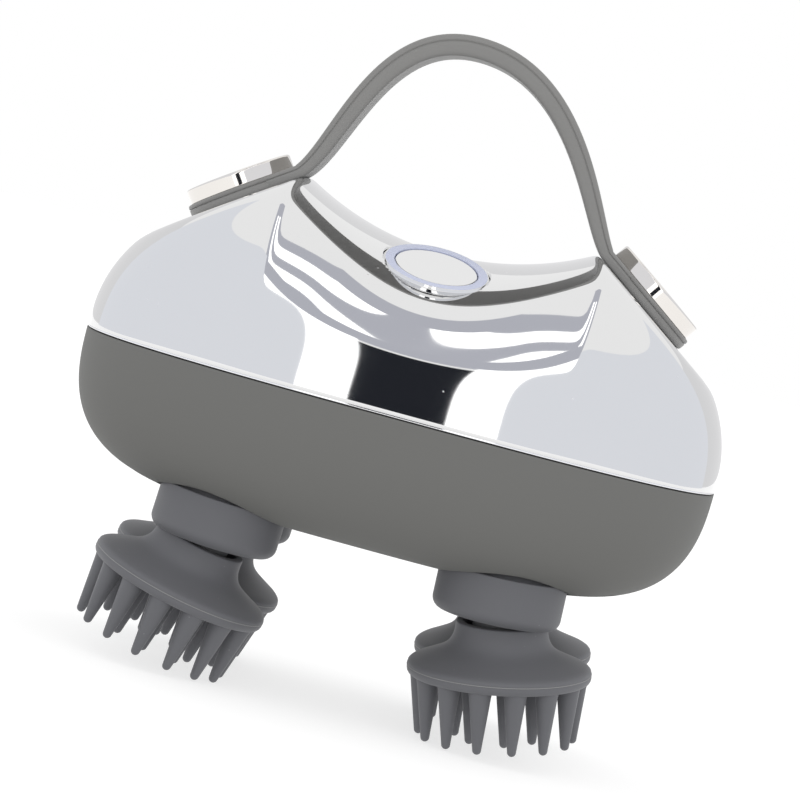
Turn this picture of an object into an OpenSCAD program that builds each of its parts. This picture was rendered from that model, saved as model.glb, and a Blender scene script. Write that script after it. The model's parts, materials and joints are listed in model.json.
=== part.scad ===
/* [Housing] */
// Length of the housing along X
body_l = 138; // [130:1:146]
// Depth of the housing along Y
body_d = 93; // [88:1:98]
// Height of the saddle's middle above the parting plane
saddle_h = 33.5; // [32:0.1:36]
// Radius of the saddle's arc, seen from the front
saddle_r = 65; // [58:1:80]
// Distance of each shoulder's crest from the middle
shoulder_x = 32; // [30:0.5:34]
// Slope of the slanted pads that carry the strap, in degrees
pad_angle = 35; // [30:1:40]
// Depth of the lower shell below the parting plane
lower_h = 29.5; // [28:0.5:31]
// Wall thickness of both shells
wall = 2.2; // [1.8:0.1:2.6]
// Height of the bright trim ring at the parting
trim_h = 0.7; // [0.5:0.1:1.2]

/* [Strap] */
// Width of the strap handle
strap_w = 22; // [18:1:24]
// Thickness of the strap at its tabs
tab_t = 2.8; // [2.4:0.1:3.2]
// Thickness of the strap at the top of its loop
strap_t = 4.6; // [3.5:0.1:5]
// Diameter of the round tab at each end of the strap
tab_dia = 24.9; // [24:0.1:26]
// Height of the loop's top above the parting plane
loop_h = 79.7; // [76:0.1:84]
// Diameter of the round strap cap
cap_dia = 23.3; // [22:0.1:23.6]
// Thickness of the strap cap
cap_t = 3.3; // [2.8:0.1:4]

/* [Button] */
// Outer diameter of the button's bezel
bezel_dia = 23; // [20:0.5:24]
// Width of the bezel's flat ring
bezel_w = 2.5; // [2:0.1:3]
// Distance of the button's centre in front of the middle
button_y = 21.5; // [20:0.5:23]
// Travel of the button
button_travel = 0.6; // [0.3:0.1:0.8]

/* [Massage heads] */
// Distance of the head axes from the middle along X
head_x = 30.3; // [30:0.1:31]
// Lean of the posts from the vertical, in degrees
post_lean = 12.8; // [11:0.1:13.5]
// Lean of the collars from the vertical, in degrees
collar_lean = 3; // [0:0.5:5]
// Direction of lean of the left heads at rest, in degrees from +X
left_phase = 163; // [150:1:210]
// Direction of lean of the right heads at rest, in degrees from +X
right_phase = 27; // [0:1:60]
// Diameter of the collar round each hub
collar_dia = 27.4; // [26:0.1:27.6]
// Depth of the collar's lower face below the parting plane
collar_drop = 36.8; // [36:0.1:38]
// Depth of the point that the posts lean about
lean_drop = 25.8; // [25:0.1:27]
// Diameter of the claw's rim
rim_dia = 39; // [37:0.1:40]
// Distance of the rim from the lean point, along the post
rim_s = 20.5; // [20:0.1:21.5]
// Thickness of the claw's rim
rim_t = 2.9; // [2.4:0.1:3.2]
// Outer diameter of the claw's neck at its mouth
neck_dia = 19.4; // [18.6:0.1:20]
// Length of the neck from its mouth to the rim
neck_l = 9; // [8.6:0.1:9.4]
// Number of nubs in the outer ring
outer_nubs = 14; // [12:1:14]
// Number of nubs in the inner ring
inner_nubs = 7; // [5:1:7]
// Radius of the ring of outer nubs
outer_ring_r = 16.2; // [16:0.1:16.5]
// Radius of the ring of inner nubs
inner_ring_r = 8.6; // [8:0.1:9.5]
// Diameter of a nub at its root
nub_dia = 4.9; // [4:0.1:5.2]
// Diameter of a nub at its rounded tip
nub_tip_dia = 1.9; // [1.5:0.1:2.2]
// Length of a nub
nub_l = 13.2; // [12:0.1:14]
// Diameter of the claw's seat on the post
spigot_dia = 10; // [9:0.1:10.4]

/* [Gears] */
// Module of the gears that drive the heads
head_module = 1; // [0.98:0.01:1.01]
// Teeth of the central gear
sun_teeth = 42; // [42:1:42]
// Teeth of each head's gear
out_teeth = 31; // [31:1:31]
// Module of the second stage
stage_module = 0.8; // [0.78:0.01:0.82]
// Module of the first stage
motor_module = 0.6; // [0.58:0.01:0.61]
// Teeth of both reduction wheels
wheel_teeth = 48; // [48:1:48]
// Teeth of both pinions
pinion_teeth = 12; // [12:1:12]
// Pressure angle of the teeth, in degrees
pressure = 25; // [22:1:25]
// Play between two flanks in mesh
backlash = 0.16; // [0.12:0.01:0.2]
// Thickness of the head gears
gear_t = 5.5; // [4.5:0.1:5.6]

/* [Drive and power] */
// Diameter of the motor
motor_dia = 24.4; // [22:0.1:25]
// Length of the motor's can
motor_l = 19; // [17:0.5:21]
// Diameter of the battery cell
cell_dia = 18.3; // [17:0.1:18.6]
// Length of the battery cell
cell_l = 49.5; // [45:0.5:51]
// Thickness of the circuit boards
board_t = 1.6; // [1:0.1:1.6]
// Diameter of the housing screws' thread
screw_dia = 2.6; // [2:0.1:3]

/* [Clearances] */
// Running clearance on a radius
run = 0.05; // [0.03:0.01:0.08]
// Clearance between seated pieces
seat = 0.05; // [0.03:0.01:0.1]
// Gap round a moving piece that touches nothing
free_gap = 0.6; // [0.5:0.05:0.7]

/* [Hidden] */

// Overlap that joins two shapes of one piece
join = 0.5;
// Overshoot of a cut past the face it opens
over = 1;

half_l = body_l / 2;
half_d = body_d / 2;
tip_s = rim_s + rim_t + nub_l;
tip_r = nub_tip_dia / 2;
// Height of the parting plane: the lowest nub of each claw touches z = 0
part_z = lean_drop + (tip_s - tip_r) * cos(post_lean) + outer_ring_r * sin(post_lean) + tip_r;

// Base of the upper shell, on top of the trim ring
upper_base = part_z + trim_h / 2;

// ---- Form of the housing -------------------------------------------------

plan_n = 2.8;
lower_p = 5.4;
lower_q = 2.6;
end_x = 4.4;
end_z = 17.4;
end_n = 2.3;
blend_k = 0.5;

// Half depth of the housing at a distance x from the middle
function plan_w(x) = half_d * pow(max(0, 1 - pow(abs(x) / half_l, plan_n)), 1 / plan_n);
// Saddle arc, seen from the front
function saddle_z(x) = saddle_h + saddle_r - sqrt(max(0, saddle_r * saddle_r - x * x));
// Rounded end of the housing, carried on up to the shoulder
function end_curve(x) = end_z * pow(max(0, half_l - abs(x)) / end_x, 1 / end_n);
shoulder_h = saddle_z(shoulder_x);
// Height of the slanted pad's plane
function pad_z(x) = shoulder_h - (abs(x) - shoulder_x) * tan(pad_angle);
// Smaller of two heights, rounded over where they meet
function soft_min(a, b, k) = -k * ln(exp(-(a - min(a, b)) / k) + exp(-(b - min(a, b)) / k)) + min(a, b);
// Ridge of the housing at y = 0
function ridge_z(x) = abs(x) > half_l - 0.01 ? 0
  : abs(x) > saddle_r * 0.9 ? end_curve(x) : soft_min(saddle_z(x), end_curve(x), blend_k);
// The cross-section is round at the saddle and squarer at the shoulders
function section_p(x) = 2 + 1.6 * pow(sin(90 * min(1, abs(x) / 46)), 2);
// Height of the outer surface over the parting plane
function top_z(x, v) = let(h = ridge_z(x) * sqrt(max(0, 1 - pow(abs(v), section_p(x)))))
  min(h, abs(x) < shoulder_x - 12 ? h : max(0, soft_min(h, pad_z(x), blend_k)));

// Stations along X: even over the saddle and the pads, closer at the round ends
saddle_steps = 9;
pad_steps = 6;
end_steps = 8;
pad_end = 56;
half_stations = concat(
  [for (i = [0 : saddle_steps - 1]) shoulder_x * i / saddle_steps],
  [for (i = [0 : pad_steps - 1]) shoulder_x + (pad_end - shoulder_x) * i / pad_steps],
  [for (i = [0 : end_steps - 1]) pad_end + (half_l - pad_end) * sin(90 * i / end_steps)]);
stations = concat([for (i = [len(half_stations) - 1 : -1 : 1]) -half_stations[i]], half_stations);
cross_steps = 22;
function cross_v(k) = -cos(180 * k / cross_steps);

function flat(list) = [for (part = list) for (item = part) item];
// Two triangles of a four-cornered face
function quad(a, b, c, d) = [[a, b, c], [a, c, d]];

// Points of the upper surface, shrunk by an inset for the inner one
function upper_points(inset) = let(kx = 1 - inset / half_l, ky = 1 - inset / half_d)
  flat([for (x = stations) [for (k = [0 : cross_steps])
    [x * kx, cross_v(k) * plan_w(x) * ky, top_z(x, cross_v(k)) * (1 - inset / saddle_h)]]]);

// Closed skin between an outer and an inner upper surface
module upper_skin(inset) {
  n = len(stations);
  m = cross_steps + 1;
  kx = 1 - inset / half_l;
  points = concat(upper_points(0), upper_points(inset),
    [[-half_l, 0, 0], [half_l, 0, 0], [-half_l * kx, 0, 0], [half_l * kx, 0, 0]]);
  inner = n * m;
  pole = 2 * n * m;
  surface = flat([for (i = [0 : n - 2]) flat([for (k = [0 : m - 2]) concat(
    quad(i * m + k, i * m + k + 1, (i + 1) * m + k + 1, (i + 1) * m + k),
    quad(inner + i * m + k, inner + (i + 1) * m + k,
      inner + (i + 1) * m + k + 1, inner + i * m + k + 1))])]);
  ends = flat([for (k = [0 : m - 2]) [
    [pole, k + 1, k], [pole + 1, (n - 1) * m + k, (n - 1) * m + k + 1],
    [pole + 2, inner + k, inner + k + 1],
    [pole + 3, inner + (n - 1) * m + k + 1, inner + (n - 1) * m + k]]]);
  rim = flat([for (i = [0 : n - 2]) concat(
    quad(i * m, (i + 1) * m, inner + (i + 1) * m, inner + i * m),
    quad(i * m + m - 1, inner + i * m + m - 1,
      inner + (i + 1) * m + m - 1, (i + 1) * m + m - 1))]);
  corners = concat(
    quad(pole, 0, inner, pole + 2),
    quad(pole, pole + 2, inner + m - 1, m - 1),
    quad(pole + 1, pole + 3, inner + (n - 1) * m, (n - 1) * m),
    quad(pole + 1, (n - 1) * m + m - 1, inner + (n - 1) * m + m - 1, pole + 3));
  polyhedron(points, concat(surface, ends, rim, corners), convexity = 6);
}

plan_steps = 64;
lower_rings = 13;
function signed_pow(a, p) = sign(a) * pow(abs(a), p);
// Plan outline of the housing at angle a, set in by an inset
function plan_point(a, inset, z) = [
  (half_l - inset) * signed_pow(cos(a), 2 / plan_n),
  (half_d - inset) * signed_pow(sin(a), 2 / plan_n), z];
// Depth of the lower shell's outer surface at a point in plan
function lower_z(x, y) = let(r = pow(pow(abs(x) / half_l, plan_n) + pow(abs(y) / half_d, plan_n), 1 / plan_n))
  -lower_h * pow(max(0, 1 - pow(r, lower_p)), 1 / lower_q);
// Rings of the lower surface: r from 0 at the bottom to 1 at the parting
function lower_ring(j) = pow(sin(90 * j / lower_rings), 2 / lower_p);
function lower_points(inset) = flat([for (j = [1 : lower_rings]) [for (i = [0 : plan_steps - 1])
  let(r = lower_ring(j), p = plan_point(360 * i / plan_steps, inset, 0))
  [p[0] * r, p[1] * r, -(lower_h - inset) * pow(cos(90 * j / lower_rings), 2 / lower_q)]]]);

// Closed skin of the lower shell
module lower_skin(inset) {
  m = plan_steps;
  points = concat(lower_points(0), lower_points(inset),
    [[0, 0, -lower_h], [0, 0, -(lower_h - inset)]]);
  inner = lower_rings * m;
  pole = 2 * lower_rings * m;
  surface = flat([for (j = [0 : lower_rings - 2]) flat([for (i = [0 : m - 1]) let(n = (i + 1) % m) concat(
    quad(j * m + i, (j + 1) * m + i, (j + 1) * m + n, j * m + n),
    quad(inner + j * m + i, inner + j * m + n,
      inner + (j + 1) * m + n, inner + (j + 1) * m + i))])]);
  caps = flat([for (i = [0 : m - 1]) let(n = (i + 1) % m) [[pole, i, n], [pole + 1, inner + n, inner + i]]]);
  last = (lower_rings - 1) * m;
  rim = flat([for (i = [0 : m - 1]) let(n = (i + 1) % m)
    quad(last + n, last + i, inner + last + i, inner + last + n)]);
  polyhedron(points, concat(surface, caps, rim), convexity = 6);
}

// Flat ring along the parting, between two insets and two heights
module parting_ring(inset_out, inset_in, z_low, z_high) {
  translate([0, 0, z_low])
    linear_extrude(z_high - z_low)
      difference() {
        polygon([for (i = [0 : plan_steps - 1])
          let(p = plan_point(360 * i / plan_steps, inset_out, 0)) [p[0], p[1]]]);
        polygon([for (i = [0 : plan_steps - 1])
          let(p = plan_point(360 * i / plan_steps, inset_in, 0)) [p[0], p[1]]]);
      }
}

// ---- Places shared by several pieces --------------------------------------

axle_distance = head_module * (sun_teeth + out_teeth) / 2;
head_y = sqrt(axle_distance * axle_distance - head_x * head_x);
opening_r = collar_dia / 2 + free_gap;
heads = [[-head_x, -head_y], [head_x, -head_y], [-head_x, head_y], [head_x, head_y]];
head_phase = [left_phase, right_phase, left_phase, right_phase];

// Levels measured from the parting plane
plate_top = -14.5;
plate_t = 2;
boss_low = -22;
gear_low = -13.9;
stage_low = gear_low + gear_t + 0.5;
stage_t = 4;
wheel_low = stage_low + stage_t + 0.5;
wheel_t = 3;
cover_low = wheel_low + wheel_t + 1;
cover_t = 2;
motor_low = cover_low + cover_t;
idler_y = stage_module * (wheel_teeth + pinion_teeth) / 2;
motor_y = idler_y - motor_module * (wheel_teeth + pinion_teeth) / 2;
cover_posts = [[-36, 0], [36, 0], [0, -30]];
cover_post_r = 3.2;
housing_bosses = [[-52, -16], [52, -16], [-52, 16], [52, 16]];
housing_boss_r = 3.5;
screw_head_r = 2.4;
screw_head_h = 1.8;
// Height of the screw heads' seats and of the bosses' feet over the shell's outer face
head_in = 3.6;
boss_in = 2;
// Distance of the bosses and of the screws' tips below the parting plane
boss_gap = 1.8;
tip_gap = 2;

// Middle of each strap tab on the pad
tab_x = shoulder_x + (tab_dia / 2 + 1.6) * cos(pad_angle);
tab_z = pad_z(tab_x);
// Puts a shape on a pad: its Z is the pad's outward normal, side is -1 or 1
module on_pad(side) {
  translate([side * tab_x, 0, upper_base + tab_z]) rotate([0, side * pad_angle, 0]) children();
}

// Middle and slope of the button on the front of the saddle
button_v = button_y / half_d;
button_z = top_z(0, button_v);
button_slope = atan(saddle_h / half_d * button_v / sqrt(1 - button_v * button_v));
module on_button() {
  translate([0, -button_y, upper_base + button_z]) rotate([button_slope, 0, 0]) children();
}

// Puts a shape on a head's vertical axis, at the parting plane
module at_head(i) {
  translate([heads[i][0], heads[i][1], part_z]) children();
}
// Leans a shape about a point below the parting plane; its -Z runs down the post
module leaning(i, drop, lean) {
  at_head(i) translate([0, 0, -drop]) rotate([0, 0, head_phase[i]]) rotate([0, -lean, 0]) children();
}

// ---- Gears -----------------------------------------------------------------

function inv_angle(rb, r) = let(t = sqrt(max(0, r * r / (rb * rb) - 1))) t * 180 / PI - atan(t);
flank_steps = 4;
// Outline of an involute spur gear with stub teeth, thinned by half the backlash
function gear_outline(m, n) = let(rp = m * n / 2, rb = rp * cos(pressure), ra = rp + 0.8 * m,
    rf = rp - 1.1 * m, rs = max(rb, rf + 0.05),
    half = 90 / n - backlash / 2 / rp * 180 / PI + inv_angle(rb, rp))
  flat([for (t = [0 : n - 1]) let(a = 360 * t / n) concat(
    [[rf * cos(a - 180 / n), rf * sin(a - 180 / n)]],
    [[rf * cos(a - half), rf * sin(a - half)]],
    [for (s = [0 : flank_steps]) let(r = rs + (ra - rs) * s / flank_steps, b = a - half + inv_angle(rb, r))
      [r * cos(b), r * sin(b)]],
    [for (s = [flank_steps : -1 : 0])
      let(r = rs + (ra - rs) * s / flank_steps, b = a + half - inv_angle(rb, r))
      [r * cos(b), r * sin(b)]],
    [[rf * cos(a + half), rf * sin(a + half)]])]);

// Spur gear with a centred bore; turn is the angle of its first tooth
module spur(m, n, t, bore_r, turn) {
  difference() {
    rotate([0, 0, turn]) linear_extrude(t) polygon(gear_outline(m, n));
    translate([0, 0, -over]) cylinder(h = t + 2 * over, r = bore_r, $fn = 48);
  }
}

// First tooth of a gear at angle place from its mate, so that a gap meets the mate's tooth
function mesh_turn(place, n_mate, turn_mate, n) =
  place + 180 + 180 / n - (turn_mate - place) * n_mate / n;

sun_r = 2.5;
idler_r = 1.5;
shaft_r = 4;

// ---- Housing pieces ----------------------------------------------------------

pad_hole_r = 1.1;
module upper_shell() {
  color([0.85, 0.86, 0.88])
  difference() {
    union() {
      translate([0, 0, upper_base]) upper_skin(wall);
      for (side = [-1, 1]) on_pad(side) translate([0, 0, -9.5]) cylinder(h = 9, r = 3.2, $fn = 32);
    }
    for (side = [-1, 1]) on_pad(side) translate([0, 0, -9]) cylinder(h = 12, r = pad_hole_r, $fn = 32);
    on_button() translate([0, 0, -8]) cylinder(h = 16, r = bezel_r - bezel_lip + seat, $fn = 64);
    on_button() translate([0, 0, -bezel_sink]) cylinder(h = 10, r = bezel_r + seat, $fn = 64);
  }
}

port_drop = 7;
port_w = 9;
port_h = 3.2;
// Slot with round ends, drawn in the XZ plane and run along Y
module slot_y(w, h, y0, y1) {
  translate([0, y1, 0]) rotate([90, 0, 0]) linear_extrude(y1 - y0) union() {
    square([w - h, h], center = true);
    for (side = [-1, 1]) translate([side * (w - h) / 2, 0]) circle(r = h / 2, $fn = 32);
  }
}

module lower_shell() {
  color([0.45, 0.45, 0.43])
  translate([0, 0, part_z - trim_h / 2])
  difference() {
    union() {
      lower_skin(wall);
      for (b = housing_bosses) translate([b[0], b[1], lower_z(b[0], b[1]) + boss_in])
        cylinder(h = -lower_z(b[0], b[1]) - boss_in - boss_gap, r = housing_boss_r, $fn = 32);
    }
    for (h = heads) translate([h[0], h[1], -lower_h - over])
      cylinder(h = lower_h, r = opening_r, $fn = 64);
    for (b = housing_bosses) translate([b[0], b[1], -lower_h - over]) {
      cylinder(h = lower_h + 2 * over, r = screw_dia / 2 + 0.2, $fn = 32);
      cylinder(h = lower_h + over + lower_z(b[0], b[1]) + head_in, r = screw_head_r + 0.2, $fn = 32);
    }
    translate([0, 0, -port_drop]) slot_y(port_w + 1, port_h + 1, half_d - 8, half_d + over);
  }
}

module trim_ring() {
  color([0.9, 0.9, 0.92])
  translate([0, 0, part_z]) parting_ring(0.1, wall - 0.2, -trim_h / 2, trim_h / 2);
}

module shell_gasket() {
  color([0.15, 0.15, 0.15])
  translate([0, 0, part_z]) parting_ring(wall + 0.3, wall + 1.8, -1.2, 1.2);
}

// ---- Strap -------------------------------------------------------------------

tab_edge = tab_dia / 2;
strap_steps = 22;
// Height of the band's middle over the pad's surface
band_rise = tab_t / 2 / cos(pad_angle) + 0.02;
// The loop leaves the pad at the cap's edge
loop_x = tab_x - (cap_dia / 2 + 0.1) * cos(pad_angle);
loop_z = pad_z(loop_x) + band_rise;
apex_shift = -3.6;
// Slope at which each half leaves its pad, left then right
foot_angle = [43, 47];
// How far each half runs on at that slope and along the level top, left then right
foot_pull = [9.4, 7.8];
apex_pull = [21.8, 23.4];
apex_z = loop_h - strap_t / 2;
// Middle line of the loop: a smooth curve from pad to pad over the apex
function bez(a, b, c, d, t) =
  a * pow(1 - t, 3) + 3 * b * t * pow(1 - t, 2) + 3 * c * t * t * (1 - t) + d * pow(t, 3);
function half_loop(side, t) = let(k = side < 0 ? 0 : 1) [
  bez(side * loop_x, side * (loop_x - foot_pull[k] * cos(foot_angle[k])),
    apex_shift + side * apex_pull[k], apex_shift, t),
  bez(loop_z, loop_z + foot_pull[k] * sin(foot_angle[k]), apex_z, apex_z, t)];
function foot_point(side) = [side * (tab_x - 2), pad_z(tab_x - 2) + band_rise];
loop_points = concat([foot_point(-1)], [for (i = [0 : strap_steps]) half_loop(-1, i / strap_steps)],
  [for (i = [strap_steps - 1 : -1 : 0]) half_loop(1, i / strap_steps)], [foot_point(1)]);
last_loop = len(loop_points) - 1;
function loop_dir(i) = let(
  d = loop_points[min(last_loop, i + 1)] - loop_points[max(0, i - 1)]) d / norm(d);
// Thickness grows from the tabs to the top of the loop
function loop_t(i) = tab_t + (strap_t - tab_t) * pow(max(0, sin(180 * (i - 1) / (last_loop - 2))), 0.7);
// Cross-section of the strap: a flat band with rounded edges, as [across, out]
section_points = [[-1, -0.25], [-0.94, -0.5], [0, -0.5], [0.94, -0.5], [1, -0.25],
  [1, 0.25], [0.94, 0.5], [0, 0.5], [-0.94, 0.5], [-1, 0.25]];

module strap() {
  m = len(section_points);
  n = len(loop_points);
  points = flat([for (i = [0 : n - 1]) let(d = loop_dir(i), c = loop_points[i], t = loop_t(i))
    [for (s = section_points)
      [c[0] - d[1] * s[1] * t, s[0] * strap_w / 2, upper_base + c[1] + d[0] * s[1] * t]]]);
  sides = flat([for (i = [0 : n - 2]) flat([for (k = [0 : m - 1]) let(e = (k + 1) % m)
    quad(i * m + k, (i + 1) * m + k, (i + 1) * m + e, i * m + e)])]);
  caps = [[for (k = [0 : m - 1]) k], [for (k = [m - 1 : -1 : 0]) (n - 1) * m + k]];
  color([0.5, 0.5, 0.5])
  difference() {
    union() {
      polyhedron(points, concat(sides, caps), convexity = 6);
      for (side = [-1, 1]) on_pad(side) cylinder(h = tab_t, r = tab_edge, $fn = 64);
    }
    for (side = [-1, 1]) on_pad(side) {
      translate([0, 0, -over]) cylinder(h = 6, r = screw_dia / 2 + 0.2, $fn = 32);
      translate([0, 0, tab_t]) cylinder(h = cap_t + 2, r = cap_dia / 2 + 0.05, $fn = 96);
    }
  }
}

cap_round = 0.6;
module strap_cap() {
  difference() {
    translate([0, 0, tab_t]) rotate_extrude($fn = 96)
      polygon([[0, 0], [cap_dia / 2, 0], [cap_dia / 2, cap_t - cap_round],
        [cap_dia / 2 - cap_round * 0.3, cap_t - cap_round * 0.3],
        [cap_dia / 2 - cap_round, cap_t], [0, cap_t]]);
    translate([0, 0, tab_t - over]) cylinder(h = over + screw_head_h, r = screw_head_r + 0.2, $fn = 32);
  }
}
module strap_cap_left() { color([0.82, 0.8, 0.78]) on_pad(-1) strap_cap(); }
module strap_cap_right() { color([0.82, 0.8, 0.78]) on_pad(1) strap_cap(); }

// Screw with a round head; its tip points down -Z from the head's seat
module screw(thread_r, l, head_r, head_h) {
  union() {
    translate([0, 0, -l]) cylinder(h = l + join, r = thread_r, $fn = 24);
    cylinder(h = head_h, r = head_r, $fn = 32);
  }
}
// Length of the screws that hold the strap
strap_screw_l = 9.5;
module strap_screws() {
  color([0.7, 0.7, 0.72])
  for (side = [-1, 1]) on_pad(side) translate([0, 0, tab_t])
    screw(pad_hole_r - seat, strap_screw_l, screw_head_r, screw_head_h - 0.1);
}

module housing_screws() {
  color([0.6, 0.6, 0.62]) for (b = housing_bosses)
    translate([b[0], b[1], part_z - trim_h / 2 + lower_z(b[0], b[1]) + head_in]) mirror([0, 0, 1])
      screw(screw_dia / 2, -lower_z(b[0], b[1]) - head_in - tip_gap, screw_head_r, screw_head_h);
}

// ---- Button ------------------------------------------------------------------

bezel_up = 1.1;
bezel_sink = 1.9;
bezel_lip = 1.25;
bezel_r = bezel_dia / 2;
key_r = bezel_r - bezel_w;
module button_bezel() {
  color([0.78, 0.82, 0.92]) on_button() rotate_extrude($fn = 96)
    polygon([[key_r, bezel_up - 0.1], [key_r + 0.2, bezel_up], [bezel_r - 0.5, bezel_up],
      [bezel_r, bezel_up - 0.5], [bezel_r, -bezel_sink], [bezel_r - bezel_lip, -bezel_sink],
      [bezel_r - bezel_lip, -4.5], [key_r, -4.5]]);
}
module power_button() {
  color([0.88, 0.89, 0.9]) on_button() union() {
    rotate_extrude($fn = 96) polygon([[0, bezel_up - 0.2], [key_r - 0.5, bezel_up - 0.2],
      [key_r - 0.15, bezel_up - 0.5], [key_r - 0.15, -1.5], [0, -1.5]]);
    translate([0, 0, -3]) cylinder(h = 2, r = 1.6, $fn = 32);
  }
}
module tact_switch() {
  color([0.2, 0.2, 0.2]) on_button() translate([0, 0, -3 - button_travel - 0.1]) union() {
    translate([0, 0, -1]) cylinder(h = 1, r = 1.6, $fn = 32);
    translate([-3, -3, -3.4]) cube([6, 6, 2.6]);
  }
}
module switch_board() {
  color([0.1, 0.35, 0.2]) on_button() translate([0, 0, -3 - button_travel - 0.1 - 3.4 - board_t])
    cylinder(h = board_t, r = bezel_r - 1.6, $fn = 64);
}

// ---- Gearbox -----------------------------------------------------------------

bearing_r = 8;
bearing_t = 5;
seal_r = 10;
seal_t = 2;
flange_r = 7.5;
boss_r = 11.5;
bearing_top = plate_top - 0.2;

module bearing_plate() {
  color([0.25, 0.25, 0.27])
  translate([0, 0, part_z])
  difference() {
    union() {
      translate([0, 0, plate_top - plate_t]) linear_extrude(plate_t)
        polygon([for (i = [0 : plan_steps - 1])
          let(p = plan_point(360 * i / plan_steps, 0, 0)) [p[0] * 0.86, p[1] * 0.86]]);
      for (h = heads) translate([h[0], h[1], boss_low])
        cylinder(h = plate_top - boss_low - plate_t + join, r = boss_r, $fn = 64);
      for (p = cover_posts) translate([p[0], p[1], plate_top - join])
        cylinder(h = cover_low - plate_top + join, r = cover_post_r, $fn = 32);
      translate([0, 0, plate_top - plate_t - 2]) cylinder(h = 3, r = 5, $fn = 32);
    }
    for (h = heads) translate([h[0], h[1], 0]) {
      translate([0, 0, bearing_top - bearing_t]) cylinder(h = 12, r = bearing_r + seat, $fn = 64);
      translate([0, 0, boss_low - over]) cylinder(h = 12, r = flange_r + 0.5, $fn = 64);
      translate([0, 0, boss_low - over]) cylinder(h = seal_t + over, r = seal_r + seat, $fn = 64);
    }
    for (p = cover_posts) translate([p[0], p[1], cover_low - 8]) cylinder(h = 10, r = 0.9, $fn = 24);
    for (b = housing_bosses) translate([b[0], b[1], boss_low])
      cylinder(h = 20, r = housing_boss_r + 0.3, $fn = 32);
    translate([0, 0, boss_low]) cylinder(h = 20, r = sun_r + seat / 2, $fn = 48);
    translate([0, idler_y, boss_low]) cylinder(h = 20, r = idler_r + seat / 2, $fn = 32);
  }
}

module hub_bearings() {
  color([0.75, 0.75, 0.78])
  for (i = [0 : 3]) at_head(i) translate([0, 0, bearing_top - bearing_t]) difference() {
    cylinder(h = bearing_t, r = bearing_r, $fn = 64);
    translate([0, 0, -over]) cylinder(h = bearing_t + 2 * over, r = shaft_r + run, $fn = 64);
  }
}
module lip_seals() {
  color([0.1, 0.1, 0.1]) for (i = [0 : 3]) at_head(i) translate([0, 0, boss_low]) difference() {
    cylinder(h = seal_t, r = seal_r, $fn = 64);
    translate([0, 0, -over]) cylinder(h = seal_t + 2 * over, r = flange_r + run, $fn = 64);
  }
}

module gear_cover() {
  color([0.3, 0.3, 0.32])
  translate([0, 0, part_z])
  difference() {
    union() {
      translate([-40, -7, cover_low]) cube([80, 14, cover_t]);
      translate([-17, -34, cover_low]) cube([34, 64, cover_t]);
      for (side = [-1, 1]) translate([24, side * 5, cover_low + cover_t - join])
        cylinder(h = board_gap + join, r = 2, $fn = 24);
      translate([30, 0, cover_low + cover_t - join]) cylinder(h = board_gap + join, r = 2, $fn = 24);
    }
    for (p = cover_posts) translate([p[0], p[1], cover_low - over]) cylinder(h = 10, r = 1.2, $fn = 24);
    translate([0, motor_y, cover_low - over]) cylinder(h = 10, r = 3.4, $fn = 48);
    translate([0, idler_y, cover_low - over]) cylinder(h = 10, r = idler_r + seat / 2, $fn = 32);
    for (side = [-1, 1]) translate([side * 8, motor_y, cover_low - over]) cylinder(h = 10, r = 1.2, $fn = 24);
  }
}
board_gap = 2.4;
module gear_screws() {
  color([0.6, 0.6, 0.62]) translate([0, 0, part_z]) for (p = cover_posts)
    translate([p[0], p[1], cover_low + cover_t]) screw(0.85, 7, 1.8, 1.2);
}

module sun_pin() {
  color([0.7, 0.7, 0.72]) translate([0, 0, part_z + plate_top - plate_t - 2])
    cylinder(h = wheel_low - 0.6 - (plate_top - plate_t - 2), r = sun_r, $fn = 48);
}
sun_turn = 0;
module sun_gear() {
  color([0.9, 0.88, 0.8]) translate([0, 0, part_z]) union() {
    translate([0, 0, gear_low]) spur(head_module, sun_teeth, gear_t + 0.3, sun_r + run, sun_turn);
    translate([0, 0, gear_low + gear_t + 0.3 - 0.01]) difference() {
      cylinder(h = 0.22, r = 12, $fn = 48);
      translate([0, 0, -over]) cylinder(h = 3, r = sun_r + run, $fn = 48);
    }
    translate([0, 0, stage_low]) spur(stage_module, wheel_teeth, stage_t, sun_r + run, sun_turn);
  }
}

module idler_pin() {
  color([0.7, 0.7, 0.72]) translate([0, idler_y, part_z + plate_top - plate_t])
    cylinder(h = cover_low + cover_t - plate_top + plate_t, r = idler_r, $fn = 32);
}
idler_turn = mesh_turn(90, wheel_teeth, sun_turn, pinion_teeth);
module idler_gear() {
  color([0.9, 0.88, 0.8]) translate([0, idler_y, part_z]) union() {
    translate([0, 0, stage_low])
      spur(stage_module, pinion_teeth, stage_t + join + 0.1, idler_r + run, idler_turn);
    translate([0, 0, wheel_low]) spur(motor_module, wheel_teeth, wheel_t, idler_r + run, idler_turn);
  }
}

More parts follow.
